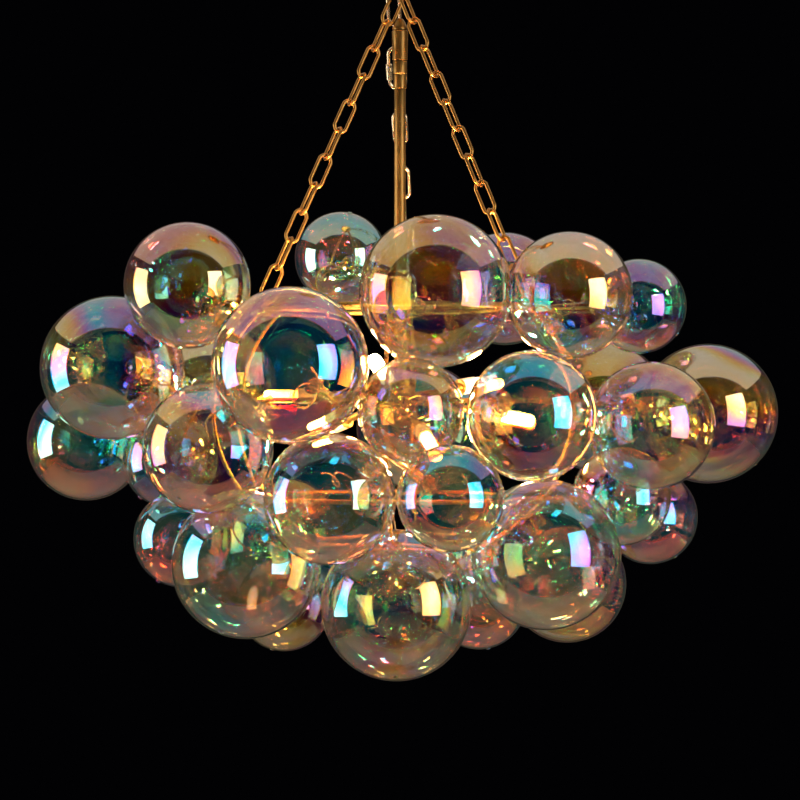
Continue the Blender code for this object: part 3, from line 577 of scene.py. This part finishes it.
def long_link(length):
    """One long link in the XZ plane: a torus pulled apart along Z, its ends flattened a little
    as they come off the mandrel."""
    made = bake_place(torus(LINK_BEND, LINK_WIRE, 24, 12, rotation=(math.pi / 2, 0, 0)))
    enter_edit(made)
    for low, high, share in LINK_BEND_SHARES:
        pick(made, lambda co: low < math.degrees(math.atan2(abs(co.z), abs(co.x))) < high)
        bpy.ops.transform.resize(value=(share, 1, share), center_override=(0, 0, 0))
    # What lies level stays, and the sides stretch from it to both ends
    pull = (length - LINK_BITE) / 2 - LINK_BEND
    pick(made, lambda co: co.z > NEAR)
    bpy.ops.transform.translate(value=(0, 0, pull))
    pick(made, lambda co: co.z < -NEAR)
    bpy.ops.transform.translate(value=(0, 0, -pull))
    leave_edit()
    return made


def chain(node, top, run, length, faces, count, look):
    """Links hang in each other, each a quarter turn from the last."""
    name = node + "_links"
    model = long_link(length)
    run = Vector(run)
    step = length - 2 * LINK_WIRE + LINK_BITE
    links = []
    for index in range(count):
        square = Vector(faces[index % 2])
        square = (square - run * square.dot(run)).normalized()
        across = square.cross(run)
        turn = Matrix((across, square, run)).transposed().to_4x4()
        middle = Vector(top) + run * (length / 2 + step * index)
        links.append(copy_of(model, name, Matrix.Translation(middle) @ turn))
    bpy.data.objects.remove(model)
    made = joined(links, name)
    smooth(made)
    settle(made, name, look)
    hand_in(made, "cluster", "polished_gilt_brass", node)


# ---------------------------------------------------------------- quick link

QUICK_MIDDLE = Vector((-0.00325, 0.04098, -0.15557))
QUICK_RUN = Vector(REAR_RUN)
QUICK_SQUARE = Vector(REAR_FACES[1])
QUICK_BEND = 0.00835
QUICK_SPAN = 0.0452
QUICK_WIRE = 0.0019
QUICK_BEND_STEPS = 16
# The first two and the last two places of its wire, on both sides of the gap, down from its middle
QUICK_START, QUICK_END = (0.0100, 0.0120), (0.0010, 0.0030)
THREAD_WIRE, THREAD_PITCH, THREAD_START, THREAD_TURNS = 0.00022, 0.0008, -0.0040, 9
SLEEVE_MIDDLE, SLEEVE_HALF, SLEEVE_BORE = 0.0040, 0.0085, 0.00225
SLEEVE_RADIUS, SLEEVE_END_RADIUS, SLEEVE_END = 0.0034, 0.0029, 0.0006
GROOVE_START, GROOVE_PITCH, GROOVE_HALF, GROOVE_RADIUS = -0.0048, 0.0014, 0.0003, 0.0031


def quick_link():
    """An oval link with a gap in one side, a thread above it, and the sleeve that shuts it."""
    across = QUICK_SQUARE.cross(QUICK_RUN)
    if across.x > 0:
        across = -across
    straight = QUICK_SPAN / 2 - QUICK_BEND

    def at(a, b):
        return QUICK_MIDDLE + across * a + QUICK_RUN * b

    points = [at(QUICK_BEND, along) for along in QUICK_START]
    for end in (1, -1):
        for step in range(QUICK_BEND_STEPS + 1):
            angle = math.pi * step / QUICK_BEND_STEPS
            points.append(at(end * QUICK_BEND * math.cos(angle),
                             end * (straight + QUICK_BEND * math.sin(angle))))
    points += [at(QUICK_BEND, along) for along in QUICK_END]
    parts = [wire("quick_link_wire", points, QUICK_WIRE, PAINTED_HIGHLIGHT_GILT, sides=4)]
    # The thread, as rings on the wire
    for step in range(THREAD_TURNS):
        parts.append(settle(torus(QUICK_WIRE, THREAD_WIRE, 16, 6), "thread", PAINTED_HIGHLIGHT_GILT,
                            towards(QUICK_RUN),
                            at(QUICK_BEND, THREAD_START + THREAD_PITCH * step)))
    made = joined(parts, "quick_link_body")
    smooth(made)
    hand_in(made, "cluster", "polished_gilt_brass", "quick_link")
    # The sleeve: a turned barrel with grip grooves
    outline = [(SLEEVE_BORE, -SLEEVE_HALF), (SLEEVE_END_RADIUS, -SLEEVE_HALF),
               (SLEEVE_RADIUS, -SLEEVE_HALF + SLEEVE_END)]
    for step in range(3):
        groove = GROOVE_START + step * GROOVE_PITCH
        outline += [(SLEEVE_RADIUS, groove - GROOVE_HALF), (GROOVE_RADIUS, groove),
                    (SLEEVE_RADIUS, groove + GROOVE_HALF)]
    outline += [(SLEEVE_RADIUS, SLEEVE_HALF - SLEEVE_END), (SLEEVE_END_RADIUS, SLEEVE_HALF),
                (SLEEVE_BORE, SLEEVE_HALF)]
    sleeve = turned("quick_link_sleeve_barrel", outline, PAINTED_HIGHLIGHT_GILT, sides=32, closed=True,
                    bevel_mm=0, turn=towards(QUICK_RUN), place=at(QUICK_BEND, SLEEVE_MIDDLE))
    hand_in(sleeve, "sleeve", "polished_gilt_brass", "quick_link_sleeve")


# ---------------------------------------------------------------- stem

def set_screw(place, outward, radius=0.0016):
    """A small slotted screw, sunk in the side of a turned piece."""
    head = turned("set_screw", [(radius * 0.8, -0.0012), (radius, -0.0009), (radius, 0.0004),
                                (radius * 0.8, 0.0007)], GILT, sides=16, bevel_mm=0.1)
    enter_edit(head, "FACE")
    pick(head, lambda c: c.z > 0.0006, "polygons")
    bpy.ops.mesh.inset(thickness=radius * 0.35, depth=0)
    bpy.ops.transform.translate(value=(0, 0, -0.0004))
    leave_edit()
    return settle(head, "set_screw", GILT, towards(outward), place)


# The cable's way through the caps and through the tube, and the spigots that join the pieces
CABLE_WAY, TUBE_BORE = 0.0026, 0.0042
SPIGOT_RADIUS, SPIGOT_LENGTH = 0.0039, 0.0060
CAP_TOP, CAP_HEIGHT = -0.1090, 0.0115
COUPLER_TOP, COUPLER_LENGTH, COUPLER_RADIUS, COUPLER_TAPER = -0.1208, 0.0320, 0.0084, 0.0009
COLLAR_TOP, COLLAR_LENGTH = -0.1531, 0.0290
TUBE_TOP, TUBE_FOOT, TUBE_RADIUS = -0.1824, -0.4821, 0.0060
# The coupler's side screws: a turn in degrees and a drop from its top
SET_SCREWS = ((60, 0.007), (240, 0.007), (60, 0.024), (240, 0.024), (150, 0.016))
SCREW_SINK = 0.0001


def spigot_under(foot):
    """The outline's start on a piece with a spigot under its foot."""
    return [(CABLE_WAY, foot - SPIGOT_LENGTH), (SPIGOT_RADIUS, foot - SPIGOT_LENGTH),
            (SPIGOT_RADIUS, foot)]


def stem():
    """Cap, coupler, collar and tube, one under the other."""
    foot = CAP_TOP - CAP_HEIGHT
    cap = turned("stem_cap_cone", spigot_under(foot) + [
        (0.0078, foot), (0.0078, foot + 0.0022), (0.0071, foot + 0.0040), (0.0052, foot + 0.0082),
        (0.0032, CAP_TOP - 0.0004), (CABLE_WAY, CAP_TOP)], SATIN, closed=True, bevel_mm=0.2)
    hand_in(cap, "cluster", "satin_brass", "stem_cap")
    top = COUPLER_TOP
    barrel = turned("stem_coupler_barrel", [
        (TUBE_BORE, top - COUPLER_LENGTH), (0.0066, top - COUPLER_LENGTH), (0.0066, top - 0.0313),
        (0.0076, top - 0.0310), (0.00775, top - 0.0300), (COUPLER_RADIUS, top - 0.0014),
        (0.0081, top - 0.0008), (0.0070, top - 0.0006), (0.0070, top), (TUBE_BORE, top)],
        SATIN, closed=True, bevel_mm=0.15, sides=56)
    screws = []
    for turn, drop in SET_SCREWS:
        outward = Vector((math.cos(math.radians(turn)), math.sin(math.radians(turn)), 0))
        reach = COUPLER_RADIUS - (COUPLER_TAPER * drop / COUPLER_LENGTH) - SCREW_SINK
        screws.append(set_screw(outward * reach + Vector((0, 0, top - drop)), outward))
    coupler = joined([barrel] + screws, "stem_coupler_barrel")
    hand_in(coupler, "cluster", "satin_brass", "stem_coupler")
    top = COLLAR_TOP
    foot = top - COLLAR_LENGTH
    collar = turned("stem_collar_sleeve", spigot_under(foot) + [
        (0.0058, foot), (0.0058, foot + 0.0006), (0.0066, foot + 0.0008), (0.0066, top - 0.0140),
        (0.0061, top - 0.0136), (0.0073, top - 0.0130), (0.0073, top), (SPIGOT_RADIUS, top),
        (SPIGOT_RADIUS, top + SPIGOT_LENGTH), (CABLE_WAY, top + SPIGOT_LENGTH)], SATIN,
        closed=True, bevel_mm=0.2, sides=48)
    hand_in(collar, "cluster", "satin_brass", "stem_collar")
    seams = [(TUBE_RADIUS, TUBE_FOOT + (TUBE_TOP - TUBE_FOOT) * k / 6) for k in range(1, 6)]
    tube = turned("stem_tube_drawn", [(TUBE_BORE, TUBE_FOOT), (TUBE_RADIUS, TUBE_FOOT)] + seams
                  + [(TUBE_RADIUS, TUBE_TOP), (TUBE_BORE, TUBE_TOP)], SATIN, closed=True,
                  bevel_mm=0.2, sides=48)
    hand_in(tube, "cluster", "satin_brass", "stem_tube")


# ---------------------------------------------------------------- ceiling fitting

RING_SQUARE = Vector((0.75471, 0.65606, 0))
RING_RADIUS, RING_WIRE = 0.0180, 0.0021
HOOK_NUT, HOOK_COLLAR, HOOK_MIDDLE = -0.0097, -0.0293, -0.0478
HOOK_BEND, HOOK_WIRE, HOOK_STEPS = 0.0085, 0.0024, 28
# The way the hook faces, and where its bend starts and ends, in degrees
HOOK_TURN, HOOK_START, HOOK_END = 41.0, 58.0, -212.0
# Its tip thins out from this share of its length
HOOK_TIP = 0.94


def ceiling_fitting():
    """Canopy cover, hook and apex ring; the strap keeps its solid."""
    radius, depth, wall, bend, dish, bore = 0.0600, 0.0260, 0.0012, 0.0100, 0.0030, 0.0033
    rim, half_way, half_dish = -0.0002, 0.030, dish * 0.42

    def corner(reach):
        angles = [-math.pi / 2 * step / 8 for step in range(9)]
        return [(radius - bend + reach * math.cos(a), -depth + bend + reach * math.sin(a))
                for a in angles]

    outer = ([(radius, rim)] + corner(bend)
             + [(half_way, -depth - half_dish), (bore, -depth - dish)])
    inner = ([(bore, -depth - dish + wall), (half_way, -depth - half_dish + wall)]
             + corner(bend - wall)[::-1] + [(radius - wall, rim)])
    cover = turned("canopy_cover_spun", outer + inner, SATIN, sides=96, closed=True, bevel_mm=0)
    hand_in(cover, "ceiling_fitting", "satin_brass", "canopy_cover")
    nut, collar = HOOK_NUT, HOOK_COLLAR
    shank = turned("canopy_hook_shank", [
        (0.0030, collar - 0.0062), (0.0050, collar - 0.0055), (0.0080, collar - 0.0030),
        (0.0080, collar), (0.0030, collar), (0.0030, nut), (0.0065, nut),
        (0.0065, nut + 0.0025), (0.0028, nut + 0.0025)], GILT, sides=40, bevel_mm=0.3)
    facing = math.radians(HOOK_TURN)
    along = Vector((0, 0, 1)).cross(Vector((math.sin(facing), -math.cos(facing), 0)))
    route = [Vector((0, 0, collar - 0.0050))]
    for step in range(HOOK_STEPS + 1):
        a = math.radians(HOOK_START + (HOOK_END - HOOK_START) * step / HOOK_STEPS)
        route.append(along * (HOOK_BEND * math.cos(a))
                     + Vector((0, 0, HOOK_MIDDLE + HOOK_BEND * math.sin(a))))
    bent = wire("canopy_hook_bend", smooth_path(route, 2), HOOK_WIRE, GILT, sides=4,
                taper=lambda t: 1.0 if t < HOOK_TIP else 1.0 - (t - HOOK_TIP) * 7)
    hook = joined([shank, bent], "canopy_hook_forged")
    hand_in(hook, "ceiling_fitting", "polished_gilt_brass", "canopy_hook")
    ring = settle(torus(RING_RADIUS, RING_WIRE, 64, 16), "apex_ring_wire", GILT,
                  towards(RING_SQUARE), (0, 0, RING_MIDDLE))
    smooth(ring)
    hand_in(ring, "ring", "polished_gilt_brass", "apex_ring")
    finish(nodes["ceiling_strap"], ZINC)


# ---------------------------------------------------------------- globes

GLASS_WALL = 0.0014
NECK_RADIUS = 0.0060
# The neck's collar inside the globe: radii, and depths under the rim
NECK_COLLAR = ((0.0061, 0.0010), (0.0066, 0.0030), (0.0080, 0.0055), (0.0100, 0.0072),
               (0.0114, 0.0076))
GLOBE_RADII = {"large": 0.0735, "medium": 0.0630, "small": 0.0500}
SCAR_RADIUS = 0.0024
# Scars look outwards and down, by this share. Where that comes this near to the neck's own way,
# as a cosine, they lie opposite the neck.
SCAR_DROP, SCAR_NEAR_NECK = 1.05, 0.6
STUD_GAP, SHORT_STUD = 0.0003, 0.0036

# Every globe's size, its middle and the foot of its stud on the cage's wire
GLOBES = (
    ("large", (0.03393, -0.24141, -0.40119), (-0.01231, -0.18530, -0.44356)),
    ("small", (0.00994, -0.28465, -0.51545), (0.00032, -0.20913, -0.50580)),
    ("medium", (-0.18412, -0.23566, -0.55156), (-0.12785, -0.16550, -0.50580)),
    ("small", (-0.23936, 0.00836, -0.56763), (-0.20904, 0.00616, -0.50580)),
    ("small", (0.08248, 0.02057, -0.71633), (0.09460, 0.02072, -0.65526)),
    ("small", (-0.22231, -0.05132, -0.64671), (-0.16605, -0.04483, -0.60597)),
    ("large", (0.14201, -0.18846, -0.65620), (0.10036, -0.13712, -0.60597)),
    ("medium", (0.16653, -0.16082, -0.40230), (0.15075, -0.10092, -0.43846)),
    ("large", (-0.15094, -0.16764, -0.66636), (-0.11281, -0.12725, -0.60597)),
    ("small", (0.22414, -0.08158, -0.60290), (0.15867, -0.06640, -0.60597)),
    ("large", (0.32431, 0.03982, -0.51970), (0.20633, 0.01979, -0.50580)),
    ("medium", (0.24587, -0.17216, -0.53064), (0.17338, -0.11607, -0.52943)),
    ("large", (-0.10243, -0.31526, -0.47290), (-0.06432, -0.19900, -0.50580)),
    ("small", (0.25172, 0.03987, -0.40656), (0.15629, 0.01692, -0.41040)),
    ("large", (-0.29284, -0.06224, -0.47261), (-0.20165, -0.05225, -0.50580)),
    ("small", (0.04657, -0.33139, -0.59653), (-0.01332, -0.20050, -0.55664)),
    ("medium", (-0.33371, 0.07093, -0.54926), (-0.20235, 0.04493, -0.50580)),
    ("small", (-0.06370, 0.11981, -0.35172), (-0.07552, 0.13560, -0.41040)),
    ("medium", (0.12592, -0.24713, -0.52056), (0.09435, -0.18432, -0.50580)),
    ("medium", (-0.06660, -0.26711, -0.59916), (-0.01302, -0.19605, -0.57024)),
    ("medium", (0.17835, 0.07941, -0.70118), (0.13419, 0.06603, -0.62372)),
    ("medium", (-0.21104, -0.13705, -0.39160), (-0.16663, -0.08199, -0.44356)),
    ("small", (0.26466, 0.05145, -0.62890), (0.16677, 0.03821, -0.60597)),
    ("large", (-0.00359, -0.20547, -0.70404), (-0.01030, -0.15508, -0.62001)),
    ("large", (-0.00949, 0.13566, -0.72702), (-0.00917, 0.09641, -0.65526)),
    ("small", (-0.12215, 0.04935, -0.72072), (-0.09120, 0.03532, -0.65526)),
    ("large", (0.02331, 0.33338, -0.53707), (0.01383, 0.20818, -0.52943)),
    ("large", (-0.21377, 0.25476, -0.49045), (-0.12789, 0.16443, -0.50580)),
    ("large", (0.22688, 0.23494, -0.51399), (0.14157, 0.15139, -0.50580)),
    ("medium", (0.11742, 0.22083, -0.38100), (0.06588, 0.14172, -0.41040)),
    ("large", (-0.13543, 0.23458, -0.66341), (-0.07887, 0.15285, -0.60597)),
    ("large", (0.10976, 0.24652, -0.68120), (0.06857, 0.15547, -0.60597)),
)


def neck_height(radius):
    """How high a globe's rim lies over its middle."""
    return math.sqrt(radius * radius - NECK_RADIUS * NECK_RADIUS)


def blown_globe(radius):
    """A blown globe with its neck at +Z, reamed inwards to a flared collar."""
    deselect()
    bpy.ops.mesh.primitive_uv_sphere_add(segments=72, ring_count=44, radius=radius)
    made = bpy.context.object
    neck = neck_height(radius)
    enter_edit(made)
    bpy.ops.mesh.bisect(plane_co=(0, 0, neck), plane_no=(0, 0, 1), clear_outer=True,
                        use_fill=False)
    pick(made, lambda co: co.z > neck - NEAR)
    grow_rim(NECK_RADIUS, neck, [(width, neck - depth) for width, depth in NECK_COLLAR])
    leave_edit()
    apply_modifier(made, "SOLIDIFY", thickness=GLASS_WALL, offset=-1, use_even_offset=True)
    smooth(made)
    return made


def pontil(radius):
    """The scar where the blowing pipe broke off, ground to a small button, at +Z."""
    made = squashed_ball(SCAR_RADIUS, (1, 1, 0.5), 20, 12)
    pick(made, lambda c: c.z > 0.0009, "polygons")
    bpy.ops.mesh.inset(thickness=0.0003, depth=0)
    bpy.ops.transform.translate(value=(0, 0, -0.0005))
    leave_edit()
    smooth(made)
    made.data.transform(Matrix.Translation((0, 0, radius + 0.0006)))
    return made


def stud_outline(length):
    """A stud's stalk, the seat for the globe's rim and the spigot in its neck. Where it is
    short, the seat takes up the stalk."""
    if length < SHORT_STUD:
        stalk = [(0.0016, 0.0), (0.0060, max(0.0002, length - 0.0016)),
                 (0.0068, max(0.0004, length - 0.0010))]
    else:
        stalk = [(0.0016, 0.0), (0.0016, length - 0.0030), (0.0022, length - 0.0022),
                 (0.0060, length - 0.0016), (0.0068, length - 0.0010)]
    return stalk + [(0.0066, length), (0.0038, length), (0.0034, length + 0.0022),
                    (0.0012, length + 0.0048)]


# The solids' rings: radius at the corners, height and number of sides
CAGE_RINGS = ((0.15777, -0.4104, 17), (0.20962, -0.5058, 20), (0.17255, -0.60597, 18),
              (0.09974, -0.65526, 13))
# The same rings round, as the real wire is bent: mean radius and height
ROUND_RINGS = [(radius * (1 + math.cos(math.pi / sides)) / 2, height)
               for radius, height, sides in CAGE_RINGS]
CAGE_RIB_HEIGHTS = (0.66, -0.88)
CAGE_RADIUS, CAGE_HALF = 0.210, 0.159
CHAIN_AZIMUTH = math.radians(-63.8)
RIB_AZIMUTHS = [CHAIN_AZIMUTH + 2 * math.pi * rib / 6 for rib in range(6)]
RING_BAR, RIB_BAR, RIB_INSET = 0.0025, 0.0021, 0.0005
# The eyes for the chains: their middles, and the axes that their last links leave them
CAGE_EYES = (((-0.13820, -0.06789, -0.40257), LEFT_FACES[1]),
             ((0.12799, -0.08571, -0.40254), RIGHT_FACES[1]),
             ((0.01003, 0.15381, -0.40250), REAR_FACES[0]))
EYE_RADIUS, EYE_WIRE = 0.0062, 0.0017


def around(azimuth, radius, height=0.0):
    return Vector((radius * math.sin(azimuth), -radius * math.cos(azimuth), height))


def cage_profile(share):
    """The cage's radius and height, at a share of its half height."""
    return CAGE_RADIUS * math.sqrt(1 - share * share), CAGE_MIDDLE + CAGE_HALF * share


def cage_lines():
    """Centre lines of the rings and the ribs."""
    rings = [[around(2 * math.pi * k / 96, radius, height) for k in range(96)]
             for radius, height in ROUND_RINGS]
    ribs = []
    top, foot = CAGE_RIB_HEIGHTS
    for azimuth in RIB_AZIMUTHS:
        route = []
        for step in range(37):
            radius, height = cage_profile(top + (foot - top) * step / 36)
            route.append(around(azimuth, radius - RIB_INSET, height))
        ribs.append(route)
    return rings, ribs


def globes_and_studs():
    """Each globe's shell with its scar, its stud, and where its tie goes."""
    models = {size: blown_globe(radius) for size, radius in GLOBE_RADII.items()}
    scars = {size: pontil(radius) for size, radius in GLOBE_RADII.items()}
    rings, ribs = cage_lines()
    studs = []
    tie_places = []
    numbers = {}
    for size, middle, foot in GLOBES:
        numbers[size] = numbers.get(size, 0) + 1
        name = "globe_%s_%02d" % (size, numbers[size])
        radius = GLOBE_RADII[size]
        middle, foot = Vector(middle), Vector(foot)
        way = (foot - middle).normalized()
        turn = towards(way).to_4x4()
        shell = copy_of(models[size], name + "_shell", Matrix.Translation(middle) @ turn)
        outward = (middle - CLUSTER_MIDDLE).normalized()
        scar_way = (outward + Vector((0, 0, -SCAR_DROP))).normalized()
        if scar_way.dot(way) > SCAR_NEAR_NECK:
            scar_way = -way
        scar = copy_of(scars[size], name + "_scar",
                       Matrix.Translation(middle) @ towards(scar_way).to_4x4())
        for piece in (shell, scar):
            finish(piece, FILM_GLASS)
        made = joined([shell, scar], name + "_blown")
        hand_in(made, "cluster", "rainbow_film_glass", name)
        # The wire's own direction at the foot: the tie passes over it squarely
        route, spot = min(((r, k) for r in rings + ribs for k in range(len(r) - 1)),
                          key=lambda pair: (pair[0][pair[1]] - foot).length)
        along = (route[spot + 1] - route[spot]).normalized()
        tie_places.append((size, middle, foot, way.cross(along).normalized()))
        length = (foot - middle).length - neck_height(radius) - STUD_GAP
        studs.append(turned("stud", stud_outline(length), CAGE_GILT, sides=20, bevel_mm=0,
                            turn=towards(-way), place=foot))
    for made in list(models.values()) + list(scars.values()):
        bpy.data.objects.remove(made)
    return studs, tie_places


def frame_cage(studs):
    """Rings, ribs, boss, spokes, eyes and studs, brazed into one frame."""
    rings, ribs = cage_lines()
    parts = [wire("cage_ring", route, RING_BAR, CAGE_GILT, closed=True) for route in rings]
    parts += [wire("cage_rib", route, RIB_BAR, CAGE_GILT) for route in ribs]
    # Brazed joints, where a rib passes over a ring
    for radius, height in ROUND_RINGS:
        for azimuth in RIB_AZIMUTHS:
            bead = squashed_ball(0.0034, (1.25, 0.95, 0.9), 12, 8)
            parts.append(settle(bead, "braze", CAGE_GILT, Matrix.Rotation(azimuth, 3, "Z"),
                                around(azimuth, radius, height)))
    top = CAGE_TOP
    parts.append(turned("cage_boss", [
        (0.0063, top - 0.005), (0.0118, top - 0.005), (0.0130, top - 0.0035),
        (0.0130, top + 0.0035), (0.0118, top + 0.005), (0.0063, top + 0.005)], CAGE_GILT,
        sides=48, closed=True, bevel_mm=0.2))
    for turn in range(3):
        azimuth = CHAIN_AZIMUTH + math.radians(120) * turn
        parts.append(wire("cage_spoke", [around(azimuth, reach, top) for reach in
                                         np.linspace(0.0100, 0.1575, 8)], RIB_BAR, CAGE_GILT))
    for place, axis in CAGE_EYES:
        parts.append(settle(torus(EYE_RADIUS, EYE_WIRE, 32, 10), "eye", CAGE_GILT,
                            towards(axis), place))
    made = joined(parts + studs, "frame_cage_brazed")
    smooth(made)
    hand_in(made, "cluster", "gilt_wire", "frame_cage")


# ---------------------------------------------------------------- lamps

# The arms' ways out from the hub's middle
LAMP_WAYS = ((-0.66530, 0.68894, -0.28763), (-0.99939, -0.03490, -0.00180),
             (-0.18418, -0.94751, 0.26136), (0.25321, -0.88304, -0.39512),
             (0.97819, -0.10281, -0.18050), (0.74860, 0.65075, 0.12696))
HUB_HALF = 0.0320
# How far out on its arm a holder sits, and how far out in its holder a lamp
HOLDER_REACH, LAMP_REACH = 0.0863, 0.0093
# A lamp's coil; its turn is the angle in radians from one step to the next
COIL_RADIUS, COIL_WIRE, COIL_START, COIL_LENGTH = 0.0026, 0.0011, 0.0200, 0.0170
COIL_TURN, COIL_STEPS = 1.2, 60


def lamps():
    """The spider of hub and arms, and on each arm a holder with its lamp."""
    hub = HUB_MIDDLE
    half = HUB_HALF
    parts = [turned("hub", [
        (0.0070, hub - half), (0.0093, hub - half + 0.0008), (0.0155, hub - half + 0.0075),
        (0.0170, hub - half + 0.0098), (0.0170, hub - 0.012), (0.0163, hub - 0.011),
        (0.0163, hub + 0.011), (0.0170, hub + 0.012), (0.0170, hub + half - 0.0098),
        (0.0155, hub + half - 0.0075), (0.0093, hub + half), (0.0063, hub + half),
        (0.0063, hub + half - 0.0118), (0.0010, hub + half - 0.0119)], CAGE_GILT, sides=48,
        bevel_mm=0.25)]
    start = Vector((0, 0, hub))
    for way in LAMP_WAYS:
        parts.append(turned("arm", [
            (0.0038, 0.010), (0.0052, 0.0155), (0.0052, 0.0185), (0.0038, 0.0200),
            (0.0038, 0.0800), (0.0050, 0.0815), (0.0050, 0.0838), (0.0085, 0.0838),
            (0.0085, 0.0860), (0.0010, 0.0860)], CAGE_GILT, sides=24, bevel_mm=0.15,
            turn=towards(way), place=start))
    spider = joined(parts, "lamp_spider_turned")
    hand_in(spider, "cluster", "gilt_wire", "lamp_spider")
    for number, way in enumerate(LAMP_WAYS, start=1):
        foot = start + Vector(way) * HOLDER_REACH
        holder = turned("lamp_holder_%d_pressed" % number, [
            (0.0010, 0.0), (0.0080, 0.0), (0.0085, 0.0008), (0.0085, 0.0055), (0.0078, 0.0060),
            (0.0078, 0.0078), (0.0085, 0.0083), (0.0085, 0.0188), (0.0073, 0.0200),
            (0.0066, 0.0200), (0.0066, 0.0090), (0.0010, 0.0090)], CERAMIC, sides=32,
            bevel_mm=0.25, turn=towards(way), place=foot)
        hand_in(holder, "cluster", "lamp_ceramic", "lamp_holder_%d" % number)
        base = foot + Vector(way) * LAMP_REACH
        glass = turned("capsule_lamp_%d_glass" % number, [
            (0.0010, 0.0), (0.0056, 0.0), (0.0058, 0.0012), (0.0058, 0.0120), (0.0060, 0.0140),
            (0.0066, 0.0160), (0.0068, 0.0190), (0.0068, 0.0400), (0.0064, 0.0430),
            (0.0050, 0.0455), (0.0026, 0.0467), (0.0010, 0.0470)], LAMP_GLASS, sides=32,
            bevel_mm=0, turn=towards(way), place=base)
        at = Matrix.Translation(base) @ towards(way).to_4x4()
        route = [at @ Vector((COIL_RADIUS * math.cos(k * COIL_TURN),
                              COIL_RADIUS * math.sin(k * COIL_TURN),
                              COIL_START + COIL_LENGTH * k / COIL_STEPS))
                 for k in range(COIL_STEPS + 1)]
        coil = wire("lamp_coil_%d" % number, route, COIL_WIRE, LAMP_CORE, sides=1)
        hand_in(coil, "cluster", "frosted_lamp_glass")
        hand_in(glass, "cluster", "frosted_lamp_glass", "capsule_lamp_%d" % number)


# ---------------------------------------------------------------- ties

# Free ends of the ties, in mm from the knot, as they curl in the globes
TIE_ROUTES = (
    ((1, 0, 0), (3, 2, -6), (9, 5, -13), (19, 6, -18), (28, 2, -16), (30, -6, -10), (26, -12, -7)),
    ((-1, 1, 0), (-4, -2, -5), (-9, -8, -10), (-15, -9, -13), (-16, -3, -16), (-10, 0, -18),
     (-8, -6, -21), (-13, -12, -23), (-20, -12, -24)),
    ((0, -1, 0), (2, -5, -5), (-1, -12, -11), (-9, -16, -15), (-18, -12, -21), (-20, -3, -27),
     (-14, 6, -30), (-4, 8, -31)),
)
# How far they spread across and along the neck, in a large globe
TIE_ACROSS, TIE_ALONG = 1.5, 1.35
TIE_CORD = 0.0010
# Depths under the rim where the free ends start and where the knot lies, and the knot's size
ENDS_DEPTH, KNOT_DEPTH, KNOT_SIZE = 0.0100, 0.0098, 0.0011


def tie(index, size, middle, foot, across):
    """A clear cord that loops over the cage's wire, comes down both sides of the stud through
    the neck and is knotted inside the globe, with curly free ends."""
    radius = GLOBE_RADII[size]
    share = radius / GLOBE_RADII["large"]
    way = (foot - middle).normalized()
    turn = Matrix((across, way.cross(across), way)).transposed().to_4x4()
    neck = neck_height(radius)
    reach = (foot - middle).length - neck
    at = Matrix.Translation(middle + way * neck) @ turn
    ends = []
    for side, number in ((1, index % 3), (-1, (index + 1 + index // 3) % 3)):
        route = [Vector((x * TIE_ACROSS, y * TIE_ACROSS, z * TIE_ALONG)) * MM * share
                 for x, y, z in TIE_ROUTES[number]]
        # Each end curls its own way
        spin = Matrix.Rotation(2.4 * index + 1.3 * side, 3, "Z")
        ends.append([spin @ point + Vector((0, 0, -ENDS_DEPTH)) for point in route])
    over = [Vector((0.0050, 0, -0.0010)), Vector((0.0046, 0, reach * 0.5)),
            Vector((0.0034, 0, reach)), Vector((0, 0, reach + 0.0034)),
            Vector((-0.0034, 0, reach)), Vector((-0.0046, 0, reach * 0.5)),
            Vector((-0.0050, 0, -0.0010))]
    # Above the knot the two sides cross
    route = (ends[0][::-1] + [Vector((-0.0016, 0.0012, -0.0075))] + over
             + [Vector((0.0016, -0.0012, -0.0075))] + ends[1])
    cord = wire("tie_cord", smooth_path([at @ p for p in route], 5), TIE_CORD, CLEAR_CORD,
                sides=1)
    # A trefoil knot
    route = []
    for step in range(30):
        t = 2 * math.pi * step / 30
        route.append(at @ (Vector((math.sin(t) + 2 * math.sin(2 * t),
                                   math.cos(t) - 2 * math.cos(2 * t),
                                   -1.2 * math.sin(3 * t))) * KNOT_SIZE
                           + Vector((0, 0, -KNOT_DEPTH))))
    knot = wire("tie_knot", route, TIE_CORD, CLEAR_CORD, closed=True, sides=1)
    made = joined([cord, knot], "glass_tie_%02d" % (index + 1))
    hand_in(made, "cluster", "rainbow_film_glass")


# ---------------------------------------------------------------- floor

def floor():
    """A wide floor far under the light."""
    deselect()
    bpy.ops.mesh.primitive_plane_add(size=1, location=(0, 2.6, -4.4))
    made = bpy.context.object
    made.scale = (12.0, 9.0, 1)
    bpy.ops.object.transform_apply(location=True, rotation=True, scale=True)
    made.name = "pale_floor"
    made.data.materials.append(pale_floor())


for facts in CHAINS:
    chain(*facts)
quick_link()
stem()
ceiling_fitting()
studs, tie_places = globes_and_studs()
frame_cage(studs)
lamps()
for index, place in enumerate(tie_places):
    tie(index, *place)
floor()
